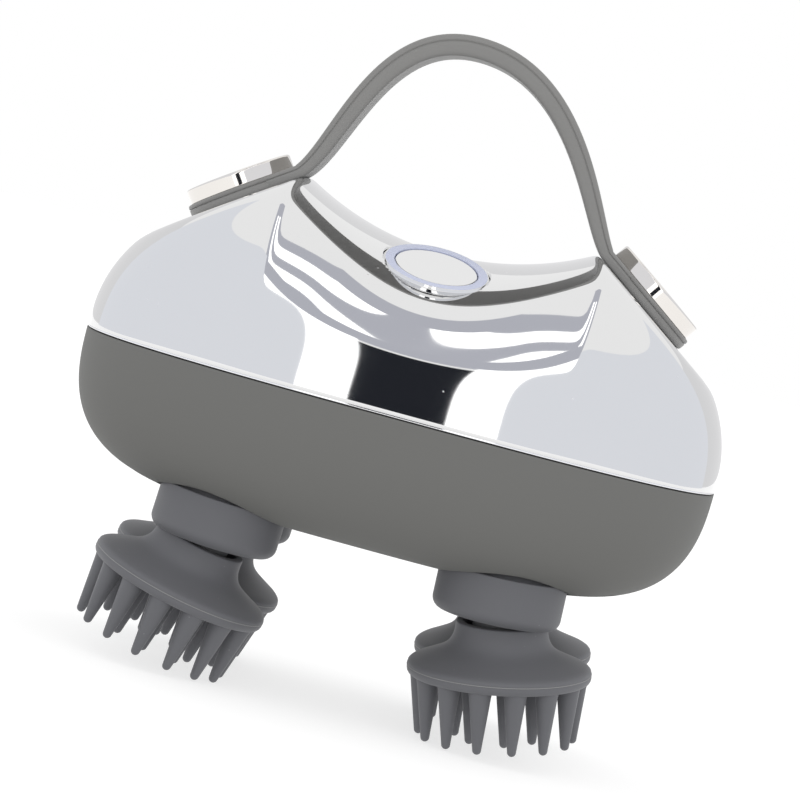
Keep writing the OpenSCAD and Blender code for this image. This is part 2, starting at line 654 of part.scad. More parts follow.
motor_turn = mesh_turn(-90, wheel_teeth, idler_turn, pinion_teeth);
motor_shaft_r = 1;
module motor_pinion() {
  color([0.8, 0.7, 0.35]) translate([0, motor_y, part_z + wheel_low - 0.1])
    spur(motor_module, pinion_teeth, wheel_t + 0.4, motor_shaft_r + seat / 2, motor_turn);
}
rotor_r = 7.5;
module motor_rotor() {
  color([0.6, 0.5, 0.4]) translate([0, motor_y, part_z]) union() {
    translate([0, 0, wheel_low - 0.1]) cylinder(h = motor_l + 4.5, r = motor_shaft_r, $fn = 32);
    translate([0, 0, motor_low + 3]) cylinder(h = motor_l - 7, r = rotor_r, $fn = 48);
  }
}
module motor_can() {
  color([0.7, 0.7, 0.72]) translate([0, motor_y, part_z + motor_low]) difference() {
    cylinder(h = motor_l - 2, r = motor_dia / 2, $fn = 64);
    translate([0, 0, 1.5]) cylinder(h = motor_l, r = rotor_r + 0.8, $fn = 64);
    translate([0, 0, -over]) cylinder(h = 4, r = motor_shaft_r + run, $fn = 32);
    for (side = [-1, 1]) translate([side * 8, 0, -over]) cylinder(h = 4, r = 0.9, $fn = 24);
  }
}
module motor_end_cap() {
  color([0.2, 0.2, 0.22]) translate([0, motor_y, part_z + motor_low + motor_l - 2]) difference() {
    cylinder(h = 2, r = motor_dia / 2 - 0.4, $fn = 64);
    translate([0, 0, -over]) cylinder(h = 5, r = motor_shaft_r + run, $fn = 32);
  }
}
module motor_screws() {
  color([0.6, 0.6, 0.62])
  for (side = [-1, 1]) translate([side * 8, motor_y, part_z + cover_low]) mirror([0, 0, 1])
    screw(0.85, 3.3, 1.5, 0.8);
}

// ---- Power -------------------------------------------------------------------

cell_x = -39;
cell_z = motor_low + 1.2 + cell_dia / 2;
module battery_cell() {
  color([0.2, 0.45, 0.65]) translate([cell_x, cell_l / 2, part_z + cell_z]) rotate([90, 0, 0])
    cylinder(h = cell_l, r = cell_dia / 2, $fn = 64);
}
module battery_cradle() {
  color([0.3, 0.3, 0.32]) difference() {
    translate([cell_x - 8, -cell_l / 2 - 1.5, part_z + motor_low]) cube([16, cell_l + 3, 7]);
    translate([cell_x, cell_l / 2 + 0.1, part_z + cell_z]) rotate([90, 0, 0])
      cylinder(h = cell_l + 0.2, r = cell_dia / 2 + seat, $fn = 64);
    translate([-36, 0, part_z + motor_low - over]) cylinder(h = over + 1.4, r = 2.2, $fn = 24);
  }
}
module control_board() {
  color([0.1, 0.35, 0.2]) translate([0, 0, part_z + motor_low + board_gap]) union() {
    translate([18, -20, 0]) cube([38, 40, board_t]);
    translate([28, -8, board_t - 0.1]) cube([10, 10, 1.2]);
    translate([44, 4, board_t - 0.1]) cube([6, 8, 2.2]);
    translate([22, 8, board_t - 0.1]) cylinder(h = 7, r = 3, $fn = 32);
  }
}
port_y = half_d - 9.5;
module usb_port() {
  color([0.75, 0.75, 0.78]) translate([0, 0, part_z - trim_h / 2 - port_drop]) difference() {
    slot_y(port_w, port_h, port_y, port_y + 7.3);
    slot_y(port_w - 0.7, port_h - 0.7, port_y + 1, port_y + 9);
  }
}
module charge_board() {
  color([0.1, 0.35, 0.2]) translate([-8, port_y - 1.2, part_z - trim_h / 2 - port_drop - port_h / 2 - 1])
    cube([16, 7.5, 1]);
}
module port_plug() {
  color([0.4, 0.4, 0.4]) translate([0, 0, part_z - trim_h / 2 - port_drop]) union() {
    slot_y(port_w + 0.8, port_h + 0.8, half_d - 1.9, half_d - 0.5);
    slot_y(port_w - 0.9, port_h - 0.9, port_y + 3, half_d - 1.5);
  }
}

// Thin tube along a list of points with square corners rounded by its rings
module wire(points, r) {
  n = len(points);
  m = 8;
  rings = flat([for (i = [0 : n - 1])
    let(d0 = points[min(n - 1, i + 1)] - points[max(0, i - 1)], d = d0 / norm(d0),
      u0 = abs(d[2]) < 0.9 ? cross(d, [0, 0, 1]) : cross(d, [1, 0, 0]),
      u = u0 / norm(u0), w = cross(d, u))
    [for (k = [0 : m - 1]) points[i] + r * cos(360 * k / m) * u + r * sin(360 * k / m) * w]]);
  sides = flat([for (i = [0 : n - 2]) flat([for (k = [0 : m - 1]) let(e = (k + 1) % m)
    quad(i * m + k, (i + 1) * m + k, (i + 1) * m + e, i * m + e)])]);
  caps = [[for (k = [0 : m - 1]) k], [for (k = [m - 1 : -1 : 0]) (n - 1) * m + k]];
  polyhedron(rings, concat(sides, caps), convexity = 4);
}
wire_r = 0.7;
module wiring() {
  board_top = motor_low + board_gap + board_t;
  color([0.7, 0.1, 0.1]) translate([0, 0, part_z]) {
    wire([[-30, -20, board_top + 1], [-22, -24, board_top + 1], [-10, -26, board_top + 2],
      [4, -24, board_top + 3], [14, -20, board_top + 3],
      [20, -17, board_top + wire_r + 0.05]], wire_r);
    wire([[12.9, 10, motor_low + 12], [16, 13, motor_low + 12], [19, 15, motor_low + 10],
      [22, 16, board_top + wire_r + 0.05]], wire_r);
  }
}

// ---- Massage heads -------------------------------------------------------------

post_r = 6.2;
post_s = rim_s - neck_l + 2.4;
spigot_s = rim_s - 0.8;
spigot_r = spigot_dia / 2;
collar_top = 26.6;
collar_l = (collar_drop - collar_top) / cos(collar_lean);
collar_round = 2.5;
// Play of the neck in the shallow pocket under the collar
neck_play = 0.2;
flange_low = 27.4;
hub_top = gear_low + gear_t + 0.3;

module post(i, grow) {
  leaning(i, lean_drop, post_lean) union() {
    translate([0, 0, -post_s]) cylinder(h = post_s, r = post_r + grow, $fn = 64);
    translate([0, 0, -spigot_s]) cylinder(h = spigot_s, r = spigot_r + grow, $fn = 64);
  }
}
module hub(i) {
  color([0.3, 0.31, 0.33]) union() {
    at_head(i) translate([0, 0, -flange_low]) cylinder(h = flange_low - 20 , r = flange_r, $fn = 64);
    at_head(i) translate([0, 0, -flange_low]) cylinder(h = flange_low + hub_top, r = shaft_r, $fn = 64);
    intersection() {
      post(i, 0);
      at_head(i) translate([0, 0, -60]) cylinder(h = 60 - flange_low + 1, r = 30, $fn = 32);
    }
  }
}
module collar(i) {
  color([0.4, 0.4, 0.42]) difference() {
    leaning(i, collar_top, collar_lean) rotate_extrude($fn = 96)
      polygon([[0, 0], [collar_dia / 2, 0], [collar_dia / 2, collar_round - collar_l],
        [collar_dia / 2 - collar_round * 0.134, collar_round * 0.5 - collar_l],
        [collar_dia / 2 - collar_round * 0.5, collar_round * 0.134 - collar_l],
        [collar_dia / 2 - collar_round, -collar_l], [0, -collar_l]]);
    at_head(i) translate([0, 0, -flange_low - seat]) cylinder(h = 8, r = flange_r + seat, $fn = 64);
    post(i, seat);
    leaning(i, lean_drop, post_lean) translate([0, 0, -rim_s])
      cylinder(h = neck_l + neck_play, r = neck_dia / 2 + neck_play, $fn = 64);
  }
}
// The gears of the heads mesh with the central gear at their rest phases
function out_turn(i) = mesh_turn(atan2(heads[i][1], heads[i][0]), sun_teeth, sun_turn, out_teeth);
module output_gear(i) {
  color([0.9, 0.88, 0.8]) at_head(i) translate([0, 0, gear_low])
    spur(head_module, out_teeth, gear_t, shaft_r + seat / 2, out_turn(i));
}

core_r = 8;
core_top = rim_s - neck_l + 3;
core_low = rim_s + 0.8;
// Profile of the claw: open neck, concave flare, round rim and flat underside
neck_r = neck_dia / 2;
rim_r = rim_dia / 2;
flare_steps = 6;
claw_profile = concat(
  [[0, -rim_s - rim_t], [rim_r - 0.8, -rim_s - rim_t], [rim_r, -rim_s - rim_t + 0.9],
    [rim_r, -rim_s - 0.9], [rim_r - 0.4, -rim_s - 0.1], [rim_r - 1.4, -rim_s + 0.6]],
  [for (i = [1 : flare_steps]) let(a = 90 * i / flare_steps, w = rim_r - 1.4 - neck_r, h = neck_l - 1.2)
    [neck_r + w * pow(1 - sin(a), 1.1), -rim_s + 0.6 + h * (1 - cos(a))]],
  [[neck_r - 0.3, -rim_s + neck_l], [core_r + 0.2, -rim_s + neck_l],
    [core_r + 0.2, -core_top], [0, -core_top]]);
nub_profile = let(r0 = nub_dia / 2, r1 = tip_r, l = nub_l)
  [[0, 1], [r0, 1], [r0, 0], [r1, r1 - l], [r1 * 0.87, r1 * 0.5 - l], [r1 * 0.5, r1 * 0.13 - l], [0, -l]];
module claw(i) {
  color([0.4, 0.4, 0.42]) leaning(i, lean_drop, post_lean) difference() {
    union() {
      rotate_extrude($fn = 96) polygon(claw_profile);
      for (k = [0 : outer_nubs - 1]) rotate([0, 0, 180 + 360 * k / outer_nubs])
        translate([outer_ring_r, 0, -rim_s - rim_t]) rotate_extrude($fn = 24) polygon(nub_profile);
      for (k = [0 : inner_nubs - 1]) rotate([0, 0, 180 + 360 * (k + 0.5) / inner_nubs])
        translate([inner_ring_r, 0, -rim_s - rim_t]) rotate_extrude($fn = 24) polygon(nub_profile);
    }
    translate([0, 0, -core_low]) cylinder(h = core_low, r = core_r, $fn = 64);
  }
}
module claw_core(i) {
  color([0.75, 0.76, 0.78]) leaning(i, lean_drop, post_lean) difference() {
    translate([0, 0, -core_low]) cylinder(h = core_low - core_top, r = core_r - 0.02, $fn = 64);
    translate([0, 0, -spigot_s - 0.3]) cylinder(h = 20, r = spigot_r + run, $fn = 64);
  }
}

module hub_front_left() { hub(0); }
module hub_front_right() { hub(1); }
module hub_rear_left() { hub(2); }
module hub_rear_right() { hub(3); }
module output_gear_front_left() { output_gear(0); }
module output_gear_front_right() { output_gear(1); }
module output_gear_rear_left() { output_gear(2); }
module output_gear_rear_right() { output_gear(3); }
module collar_front_left() { collar(0); }
module collar_front_right() { collar(1); }
module collar_rear_left() { collar(2); }
module collar_rear_right() { collar(3); }
module claw_front_left() { claw(0); }
module claw_front_right() { claw(1); }
module claw_rear_left() { claw(2); }
module claw_rear_right() { claw(3); }
module claw_core_front_left() { claw_core(0); }
module claw_core_front_right() { claw_core(1); }
module claw_core_rear_left() { claw_core(2); }
module claw_core_rear_right() { claw_core(3); }

upper_shell();
lower_shell();
trim_ring();
shell_gasket();
strap();
strap_cap_left();
strap_cap_right();
strap_screws();
button_bezel();
power_button();
switch_board();
tact_switch();
bearing_plate();
gear_cover();
gear_screws();
hub_bearings();
lip_seals();
sun_pin();
sun_gear();
idler_pin();
idler_gear();
motor_can();
motor_end_cap();
motor_rotor();
motor_pinion();
motor_screws();
battery_cell();
battery_cradle();
control_board();
charge_board();
usb_port();
port_plug();
housing_screws();
wiring();
hub_front_left();
hub_front_right();
hub_rear_left();
hub_rear_right();
output_gear_front_left();
output_gear_front_right();
output_gear_rear_left();
output_gear_rear_right();
collar_front_left();
collar_front_right();
collar_rear_left();
collar_rear_right();
claw_front_left();
claw_front_right();
claw_rear_left();
claw_rear_right();
claw_core_front_left();
claw_core_front_right();
claw_core_rear_left();
claw_core_rear_right();
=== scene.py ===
"""Visual model of an electric scalp massager: a pebble-shaped housing with a chrome upper shell and a
matte lower shell, a silicone strap handle, a round button, and four rotating silicone claws on leaning
posts."""

import json
import math

import bmesh
import bpy
import numpy as np
from mathutils import Matrix


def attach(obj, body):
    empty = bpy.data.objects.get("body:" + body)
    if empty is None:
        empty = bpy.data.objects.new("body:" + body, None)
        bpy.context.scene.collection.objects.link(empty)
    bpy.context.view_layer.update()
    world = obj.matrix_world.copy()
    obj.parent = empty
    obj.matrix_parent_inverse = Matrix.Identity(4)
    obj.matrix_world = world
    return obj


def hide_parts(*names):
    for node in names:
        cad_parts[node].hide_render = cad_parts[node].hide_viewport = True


bl_info = {
    "name": "Scalp Massager",
    "version": (1, 0, 0),
    "blender": (4, 5, 0),
    "location": "3D View > Sidebar > Massager",
    "description": "Builds the visual model of an electric scalp massager around its packed frame",
    "category": "Object",
}

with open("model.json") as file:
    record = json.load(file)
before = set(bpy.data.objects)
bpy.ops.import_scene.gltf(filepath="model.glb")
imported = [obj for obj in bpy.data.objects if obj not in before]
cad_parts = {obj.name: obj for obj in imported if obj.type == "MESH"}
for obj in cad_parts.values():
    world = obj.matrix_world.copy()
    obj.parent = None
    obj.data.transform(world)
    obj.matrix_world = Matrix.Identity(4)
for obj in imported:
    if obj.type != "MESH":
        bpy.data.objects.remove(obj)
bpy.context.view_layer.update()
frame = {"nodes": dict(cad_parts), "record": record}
MM = 0.001

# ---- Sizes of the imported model, in millimetres -----------------------------------

HALF_L, HALF_D, SADDLE_H, SADDLE_R, SHOULDER_X, PAD_ANGLE = 69.0, 46.5, 33.5, 65.0, 32.0, 35.0
LOWER_H, WALL, TRIM_H = 29.5, 2.2, 0.7
PLAN_POWER, DEPTH_POWER, RIM_POWER = 2.8, 5.4, 2.6
STRAP_W, TAB_T, STRAP_T, TAB_R, LOOP_H, CAP_R, CAP_T = 22.0, 2.8, 4.6, 12.45, 79.69, 11.65, 3.3
BEZEL_R, KEY_R, BUTTON_Y, BEZEL_UP = 11.5, 9.0, 21.5, 1.1
HEAD_X, HEAD_Y, POST_LEAN, COLLAR_LEAN, LEAN_DROP = 30.3, 20.351, 12.8, 3.0, 25.8
COLLAR_R, COLLAR_TOP, COLLAR_DROP = 13.7, 26.6, 36.8
RIM_S, RIM_T, NECK_R, NECK_L, CORE_R = 20.5, 2.9, 9.7, 9.0, 8.0
SEAM_R, SEAM_DROP, BEAD_R = 19.38, 0.95, 0.1
OUTER_RING_R, INNER_RING_R, NUB_R, TIP_R, NUB_L = 16.2, 8.6, 2.45, 0.95, 13.2
OUTER_NUBS, INNER_NUBS = 14, 7
BEVEL_W, HOLE_PLAY, HEAD_PLAY = 0.55, 0.02, 0.6
SCREW_X, SCREW_Y, SCREW_R = 52.0, 16.0, 2.6
PORT_DROP, PORT_R, PORT_HALF = 7, 2.1, 2.9
LOWER_STEPS, TRIM_STEPS, CLAW_STEPS = 288, 400, 112
# Each head's side in x and y, and the angle that its post leans towards
HEADS = {
    "front_left": (-1, -1, 163),
    "front_right": (1, -1, 27),
    "rear_left": (-1, 1, 163),
    "rear_right": (1, 1, 27),
}


def rad(degrees):
    return math.radians(degrees)


PART_Z = (LEAN_DROP + (RIM_S + RIM_T + NUB_L - TIP_R) * math.cos(rad(POST_LEAN))
          + OUTER_RING_R * math.sin(rad(POST_LEAN)) + TIP_R)
UPPER_BASE = PART_Z + TRIM_H / 2
LOWER_BASE = PART_Z - TRIM_H / 2

# ---- Form of the housing ---------------------------------------------------------


def plan_w(x):
    """Half depth of the housing at x: a superellipse of PLAN_POWER."""
    return HALF_D * np.maximum(0, 1 - np.abs(x / HALF_L) ** PLAN_POWER) ** (1 / PLAN_POWER)


def soft_min(a, b, k=0.5):
    """Smaller of two heights, rounded over a distance of about k where they meet."""
    low = np.minimum(a, b)
    return low - k * np.log(np.exp(-(a - low) / k) + np.exp(-(b - low) / k))


def saddle_z(x):
    """Saddle arc of radius 65 whose lowest point is the middle."""
    return SADDLE_H + SADDLE_R - np.sqrt(np.maximum(0, SADDLE_R ** 2 - x * x))


def end_curve(x):
    """Rounded end of the housing: a power of the distance from its tip."""
    return 17.4 * (np.maximum(0, HALF_L - np.abs(x)) / 4.4) ** (1 / 2.3)


def pad_z(x):
    """Plane of the slanted pads, falling at 35 degrees outside the shoulders."""
    return float(saddle_z(SHOULDER_X)) - (np.abs(x) - SHOULDER_X) * math.tan(rad(PAD_ANGLE))


def top_z(x, v):
    """Upper surface: the ridge times a cross-section that is round at the saddle and squarer at the
    shoulders, cut by the pads. Towards the parting line the middle of each long wall takes one height and
    one power, so that it bulges evenly."""
    ends = end_curve(x)
    ridge = np.where(np.abs(x) > SADDLE_R * 0.9, ends, soft_min(saddle_z(x), ends))
    power = 2 + 1.6 * np.sin(rad(90) * np.minimum(1, np.abs(x) / 46)) ** 2
    even = np.abs(v) ** 5 * np.cos(rad(90) * np.clip((np.abs(x) - 22) / 30, 0, 1)) ** 2
    ridge, power = ridge + (38 - ridge) * even, power + (2.5 - power) * even
    h = ridge * np.sqrt(np.maximum(0, 1 - np.abs(v) ** power))
    cut = np.maximum(0, soft_min(h, pad_z(x)))
    return np.minimum(h, np.where(np.abs(x) < SHOULDER_X - 12, h, cut))


def lower_z(r):
    """Depth of the lower surface at the share r of its way from the middle to the parting line."""
    return -LOWER_H * np.maximum(0, 1 - r ** DEPTH_POWER) ** (1 / RIM_POWER)


# ---- Frames of the pads, button and heads ----------------------------------------


def turn(axis, degrees):
    """Rotation matrix about a coordinate axis."""
    c, s = math.cos(rad(degrees)), math.sin(rad(degrees))
    i, j = {"x": (1, 2), "y": (2, 0), "z": (0, 1)}[axis]
    m = np.eye(3)
    m[i, i], m[i, j], m[j, i], m[j, j] = c, -s, s, c
    return m


def pad_frame(side):
    """Rotation and origin of a strap tab on its pad; Z is the pad's outward normal."""
    x = SHOULDER_X + (TAB_R + 1.6) * math.cos(rad(PAD_ANGLE))
    return turn("y", side * PAD_ANGLE), np.array([side * x, 0, UPPER_BASE + float(pad_z(x))])


def button_frame():
    """Rotation and origin of the button on the front slope of the saddle."""
    v = BUTTON_Y / HALF_D
    slope = math.degrees(math.atan(SADDLE_H / HALF_D * v / math.sqrt(1 - v * v)))
    return turn("x", slope), np.array([0, -BUTTON_Y, UPPER_BASE + float(top_z(np.array(0.0), np.array(v)))])


def lean_frame(name, drop, lean):
    """Rotation and origin of a piece that leans about a point below the parting plane on a head's axis."""
    sx, sy, phase = HEADS[name]
    return turn("z", phase) @ turn("y", -lean), np.array([sx * HEAD_X, sy * HEAD_Y, PART_Z - drop])


# ---- Mesh tools ------------------------------------------------------------------


def grid_faces(rows, columns, wrap=False, first=0):
    """Four-cornered faces between the neighbours of a grid of points; the columns close on themselves
    when wrap is true."""
    i, j = np.meshgrid(np.arange(rows - 1), np.arange(columns if wrap else columns - 1), indexing="ij")
    k = (j + 1) % columns
    faces = np.stack([i * columns + j, i * columns + k, (i + 1) * columns + k, (i + 1) * columns + j], -1)
    return faces.reshape(-1, 4) + first


def make_mesh(name, points, faces, merge=0.002, smooth=True, uv=None):
    """Object whose mesh has these points, given in millimetres, with doubles merged and its faces turned
    outwards."""
    mesh = bpy.data.meshes.new(name)
    mesh.from_pydata((np.asarray(points) * MM).tolist(), [], [list(dict.fromkeys(f)) for f in faces.tolist()])
    if uv is not None:
        layer = mesh.uv_layers.new(name="UVMap")
        loops = np.empty(len(mesh.loops), int)
        mesh.loops.foreach_get("vertex_index", loops)
        layer.data.foreach_set("uv", np.asarray(uv)[loops].astype(np.float32).ravel())
    obj = bpy.data.objects.new(name, mesh)
    bpy.context.scene.collection.objects.link(obj)
    clean_mesh(obj, merge)
    mesh.shade_smooth() if smooth else mesh.shade_flat()
    return obj


def clean_mesh(obj, merge):
    """Merges doubles, drops faces with no area, and turns the rest outwards."""
    bm = bmesh.new()
    bm.from_mesh(obj.data)
    bmesh.ops.remove_doubles(bm, verts=bm.verts, dist=merge * MM)
    bmesh.ops.dissolve_degenerate(bm, dist=1e-7, edges=bm.edges)
    bmesh.ops.recalc_face_normals(bm, faces=bm.faces)
    bm.to_mesh(obj.data)
    bm.free()


def rounded(corners, radii, arc=6, support=0.12):
    """Profile through the corners, each replaced by an arc of its radius, with a close pair of points at
    the ends of each straight run."""
    corners = np.asarray(corners, float)
    out = [corners[0]]
    for a, b, c, r in zip(corners[:-2], corners[1:-1], corners[2:], radii):
        u, w = (a - b) / np.linalg.norm(a - b), (c - b) / np.linalg.norm(c - b)
        half = math.acos(max(-1, min(1, float(u @ w)))) / 2
        if r <= 0 or half > math.pi / 2 - 0.01:
            out.append(b)
            continue
        reach = r / math.tan(half)
        middle = b + (u + w) / np.linalg.norm(u + w) * r / math.sin(half)
        start, end = b + u * reach, b + w * reach
        s, e = start - middle, end - middle
        sweep = math.atan2(s[0] * e[1] - s[1] * e[0], float(s @ e))
        out.append(start + u * support)
        for k in range(arc + 1):
            t = sweep * k / arc
            cos_t, sin_t = math.cos(t), math.sin(t)
            out.append(middle + [s[0] * cos_t - s[1] * sin_t, s[0] * sin_t + s[1] * cos_t])
        out.append(end + w * support)
    out.append(corners[-1])
    return np.array(out)


def lathe_points(profile, steps):
    """Grid of a profile of radius and height turned round Z in even steps."""
    a = np.arange(steps) * 2 * math.pi / steps
    r, z = np.asarray(profile, float).T
    return np.stack([np.outer(r, np.cos(a)), np.outer(r, np.sin(a)), np.repeat(z[:, None], steps, 1)], -1)


def placed(points, place):
    """Points turned and moved into a frame."""
    rotation, origin = place
    return np.asarray(points).reshape(-1, 3) @ rotation.T + origin


def lathe(name, profile, place, steps=128):
    """Surface of revolution of a profile in its own frame."""
    grid = lathe_points(profile, steps)
    return make_mesh(name, placed(grid, place), grid_faces(len(grid), steps, wrap=True))


def dress(obj, body, material, slot, *nodes):
    """Gives a new piece its material, its body and the CAD nodes it stands for."""
    obj.data.materials.clear()
    obj.data.materials.append(material)
    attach(obj, body)
    if nodes:
        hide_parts(*nodes)
    return obj


# ---- Shader tools ----------------------------------------------------------------


def new_group(name, inputs, outputs):
    """Empty shader group with float inputs and named outputs."""
    group = bpy.data.node_groups.new(name, "ShaderNodeTree")
    for label, value in inputs:
        socket = group.interface.new_socket(label, in_out="INPUT", socket_type="NodeSocketFloat")
        socket.default_value = value
    for label, kind in outputs:
        group.interface.new_socket(label, in_out="OUTPUT", socket_type=kind)
    return group, group.nodes.new("NodeGroupInput"), group.nodes.new("NodeGroupOutput")


def math_node(tree, kind, a, b=0.0, clamp=False):
    """Math node whose inputs are sockets or numbers."""
    node = tree.nodes.new("ShaderNodeMath")
    node.operation, node.use_clamp = kind, clamp
    for socket, value in zip(node.inputs, (a, b)):
        if isinstance(value, (int, float)):
            socket.default_value = value
        else:
            tree.links.new(value, socket)
    return node.outputs[0]


def noise(tree, vector, scale, detail=3.0, roughness=0.5):
    """Noise value at a scale that is a socket or a number."""
    node = tree.nodes.new("ShaderNodeTexNoise")
    node.inputs["Detail"].default_value, node.inputs["Roughness"].default_value = detail, roughness
    tree.links.new(vector, node.inputs["Vector"])
    if isinstance(scale, (int, float)):
        node.inputs["Scale"].default_value = scale
    else:
        tree.links.new(scale, node.inputs["Scale"])
    return node.outputs["Fac"]


def fine_grain():
    """Group for moulded and coated surfaces: a fine grain as a height, and a broad slow change of tone as
    a mask."""
    if "fine_grain" in bpy.data.node_groups:
        return bpy.data.node_groups["fine_grain"]
    group, enter, leave = new_group(
        "fine_grain", [("Scale", 4000.0), ("Broad Scale", 60.0), ("Amount", 1.0)],
        [("Height", "NodeSocketFloat"), ("Tone", "NodeSocketFloat")])
    where = group.nodes.new("ShaderNodeTexCoord").outputs["Object"]
    small = noise(group, where, enter.outputs["Scale"], 2.0, 0.6)
    group.links.new(math_node(group, "MULTIPLY", small, enter.outputs["Amount"]), leave.inputs["Height"])
    group.links.new(noise(group, where, enter.outputs["Broad Scale"], 4.0, 0.55), leave.inputs["Tone"])
    return group


def light_dust():
    """Group for specks of dust: small cells, of which a few are kept, as a mask."""
    if "light_dust" in bpy.data.node_groups:
        return bpy.data.node_groups["light_dust"]
    group, enter, leave = new_group(
        "light_dust", [("Scale", 900.0), ("Share", 0.02)], [("Specks", "NodeSocketFloat")])
    where = group.nodes.new("ShaderNodeTexCoord").outputs["Object"]
    cells = group.nodes.new("ShaderNodeTexVoronoi")
    group.links.new(where, cells.inputs["Vector"])
    group.links.new(enter.outputs["Scale"], cells.inputs["Scale"])
    near = math_node(group, "LESS_THAN", cells.outputs["Distance"], 0.16)
    pick = group.nodes.new("ShaderNodeSeparateColor")
    group.links.new(cells.outputs["Color"], pick.inputs[0])
    few = math_node(group, "LESS_THAN", pick.outputs[0], enter.outputs["Share"])
    group.links.new(math_node(group, "MULTIPLY", near, few), leave.inputs["Specks"])
    return group


def place_group(tree, group, **values):
    """Puts a group into a material with its own values."""
    node = tree.nodes.new("ShaderNodeGroup")
    node.node_tree = group
    for label, value in values.items():
        node.inputs[label.replace("_", " ")].default_value = value
    return node


def new_material(name):
    """Empty material with a Principled shader."""
    material = bpy.data.materials.new(name)
    material.use_nodes = True
    tree = material.node_tree
    tree.nodes.clear()
    shader = tree.nodes.new("ShaderNodeBsdfPrincipled")
    out = tree.nodes.new("ShaderNodeOutputMaterial")
    tree.links.new(shader.outputs[0], out.inputs[0])
    return material, tree, shader


def tone_ramp(tree, mask, low, high):
    """Colour between two tones by a mask."""
    mix = tree.nodes.new("ShaderNodeMix")
    mix.data_type = "RGBA"
    tree.links.new(mask, mix.inputs["Factor"])
    mix.inputs["A"].default_value, mix.inputs["B"].default_value = (*low, 1), (*high, 1)
    return mix.outputs["Result"]


def ranged(tree, value, low, high):
    """A 0 to 1 value carried to another range."""
    node = tree.nodes.new("ShaderNodeMapRange")
    tree.links.new(value, node.inputs["Value"])
    node.inputs["To Min"].default_value, node.inputs["To Max"].default_value = low, high
    return node.outputs[0]


def bumped(tree, shader, height, distance, strength=1.0):
    """Feeds a height to the shader's normal."""
    bump = tree.nodes.new("ShaderNodeBump")
    bump.inputs["Distance"].default_value, bump.inputs["Strength"].default_value = distance, strength
    tree.links.new(height, bump.inputs["Height"])
    tree.links.new(bump.outputs[0], shader.inputs["Normal"])


def plated(name, tint, roughness, ripple=0.0):
    """Bright plating: a mirror with a trace of haze that varies slowly, and a faint ripple of the plastic
    under it."""
    if name in bpy.data.materials:
        return bpy.data.materials[name]
    material, tree, shader = new_material(name)
    shader.inputs["Metallic"].default_value = 1.0
    grain = place_group(tree, fine_grain(), Scale=900.0, Broad_Scale=35.0, Amount=1.0)
    darker = [c * 0.985 for c in tint]
    tree.links.new(tone_ramp(tree, grain.outputs["Tone"], darker, tint), shader.inputs["Base Color"])
    haze = ranged(tree, grain.outputs["Tone"], roughness * 0.75, roughness * 1.25)
    dust = place_group(tree, light_dust(), Scale=700.0, Share=0.012)
    tree.links.new(math_node(tree, "ADD", haze, math_node(tree, "MULTIPLY", dust.outputs["Specks"], 0.25)),
                   shader.inputs["Roughness"])
    if ripple:
        slow = noise(tree, tree.nodes.new("ShaderNodeTexCoord").outputs["Object"], 28.0, 1.0, 0.4)
        bumped(tree, shader, slow, ripple)
    return material


def matte(name, colour, roughness, grain_size, grain_height, spread=0.06, sheen=0.0, specular=0.5):
    """Matte plastic, coating or silicone: a fine grain in the normal, and tone and roughness that drift a
    little."""
    if name in bpy.data.materials:
        return bpy.data.materials[name]
    material, tree, shader = new_material(name)
    grain = place_group(tree, fine_grain(), Scale=grain_size, Broad_Scale=55.0, Amount=1.0)
    low, high = [c * (1 - spread) for c in colour], [min(1, c * (1 + spread)) for c in colour]
    base = tone_ramp(tree, grain.outputs["Tone"], low, high)
    dust = place_group(tree, light_dust(), Scale=1100.0, Share=0.02)
    speck = tree.nodes.new("ShaderNodeMix")
    speck.data_type = "RGBA"
    tree.links.new(math_node(tree, "MULTIPLY", dust.outputs["Specks"], 0.18), speck.inputs["Factor"])
    tree.links.new(base, speck.inputs["A"])
    speck.inputs["B"].default_value = (0.5, 0.5, 0.5, 1)
    tree.links.new(speck.outputs["Result"], shader.inputs["Base Color"])
    drift = ranged(tree, grain.outputs["Tone"], roughness - 0.04, roughness + 0.04)
    tree.links.new(drift, shader.inputs["Roughness"])
    shader.inputs["Sheen Weight"].default_value = sheen
    shader.inputs["Sheen Roughness"].default_value = 0.5
    shader.inputs["Specular IOR Level"].default_value = specular
    bumped(tree, shader, grain.outputs["Height"], grain_height)
    return material


# ---- Settings a user would change ------------------------------------------------


def colour_setting(name, text, default):
    """Colour property with three channels."""
    return bpy.props.FloatVectorProperty(
        name=name, description=text, subtype="COLOR", size=3, min=0, max=1, default=default)


class MassagerFinish(bpy.types.PropertyGroup):
    """Colours and finishes of the massager."""

    plating: colour_setting("Plating", "Tint of the chrome plating", (0.785, 0.785, 0.785))
    plating_haze: bpy.props.FloatProperty(
        name="Plating Haze", description="Roughness of the plating", default=0.035, min=0, max=0.5)
    coating: colour_setting("Lower Coating", "Soft-touch coating of the lower shell", (0.117, 0.119, 0.109))
    silicone: colour_setting("Claw Silicone", "Silicone of the claws and collars", (0.138, 0.140, 0.152))
    strap: colour_setting("Strap Silicone", "Silicone of the strap handle", (0.25, 0.247, 0.24))
    # The seam colour is lighter than the claw silicone: a painted highlight along the raised seam bead.
    seam: colour_setting("Claw Seam", "Raised parting seam round each claw's rim", (0.27, 0.27, 0.27))
    ring: colour_setting("Button Ring", "Pale ring round the button", (0.60, 0.64, 0.82))
    cap: colour_setting("Cap Metal", "Polished metal of the strap caps", (0.80, 0.77, 0.735))
    grain: bpy.props.FloatProperty(
        name="Grain", description="Height of the silicone's grain",
        default=0.00002, min=0, max=0.001, unit="LENGTH")


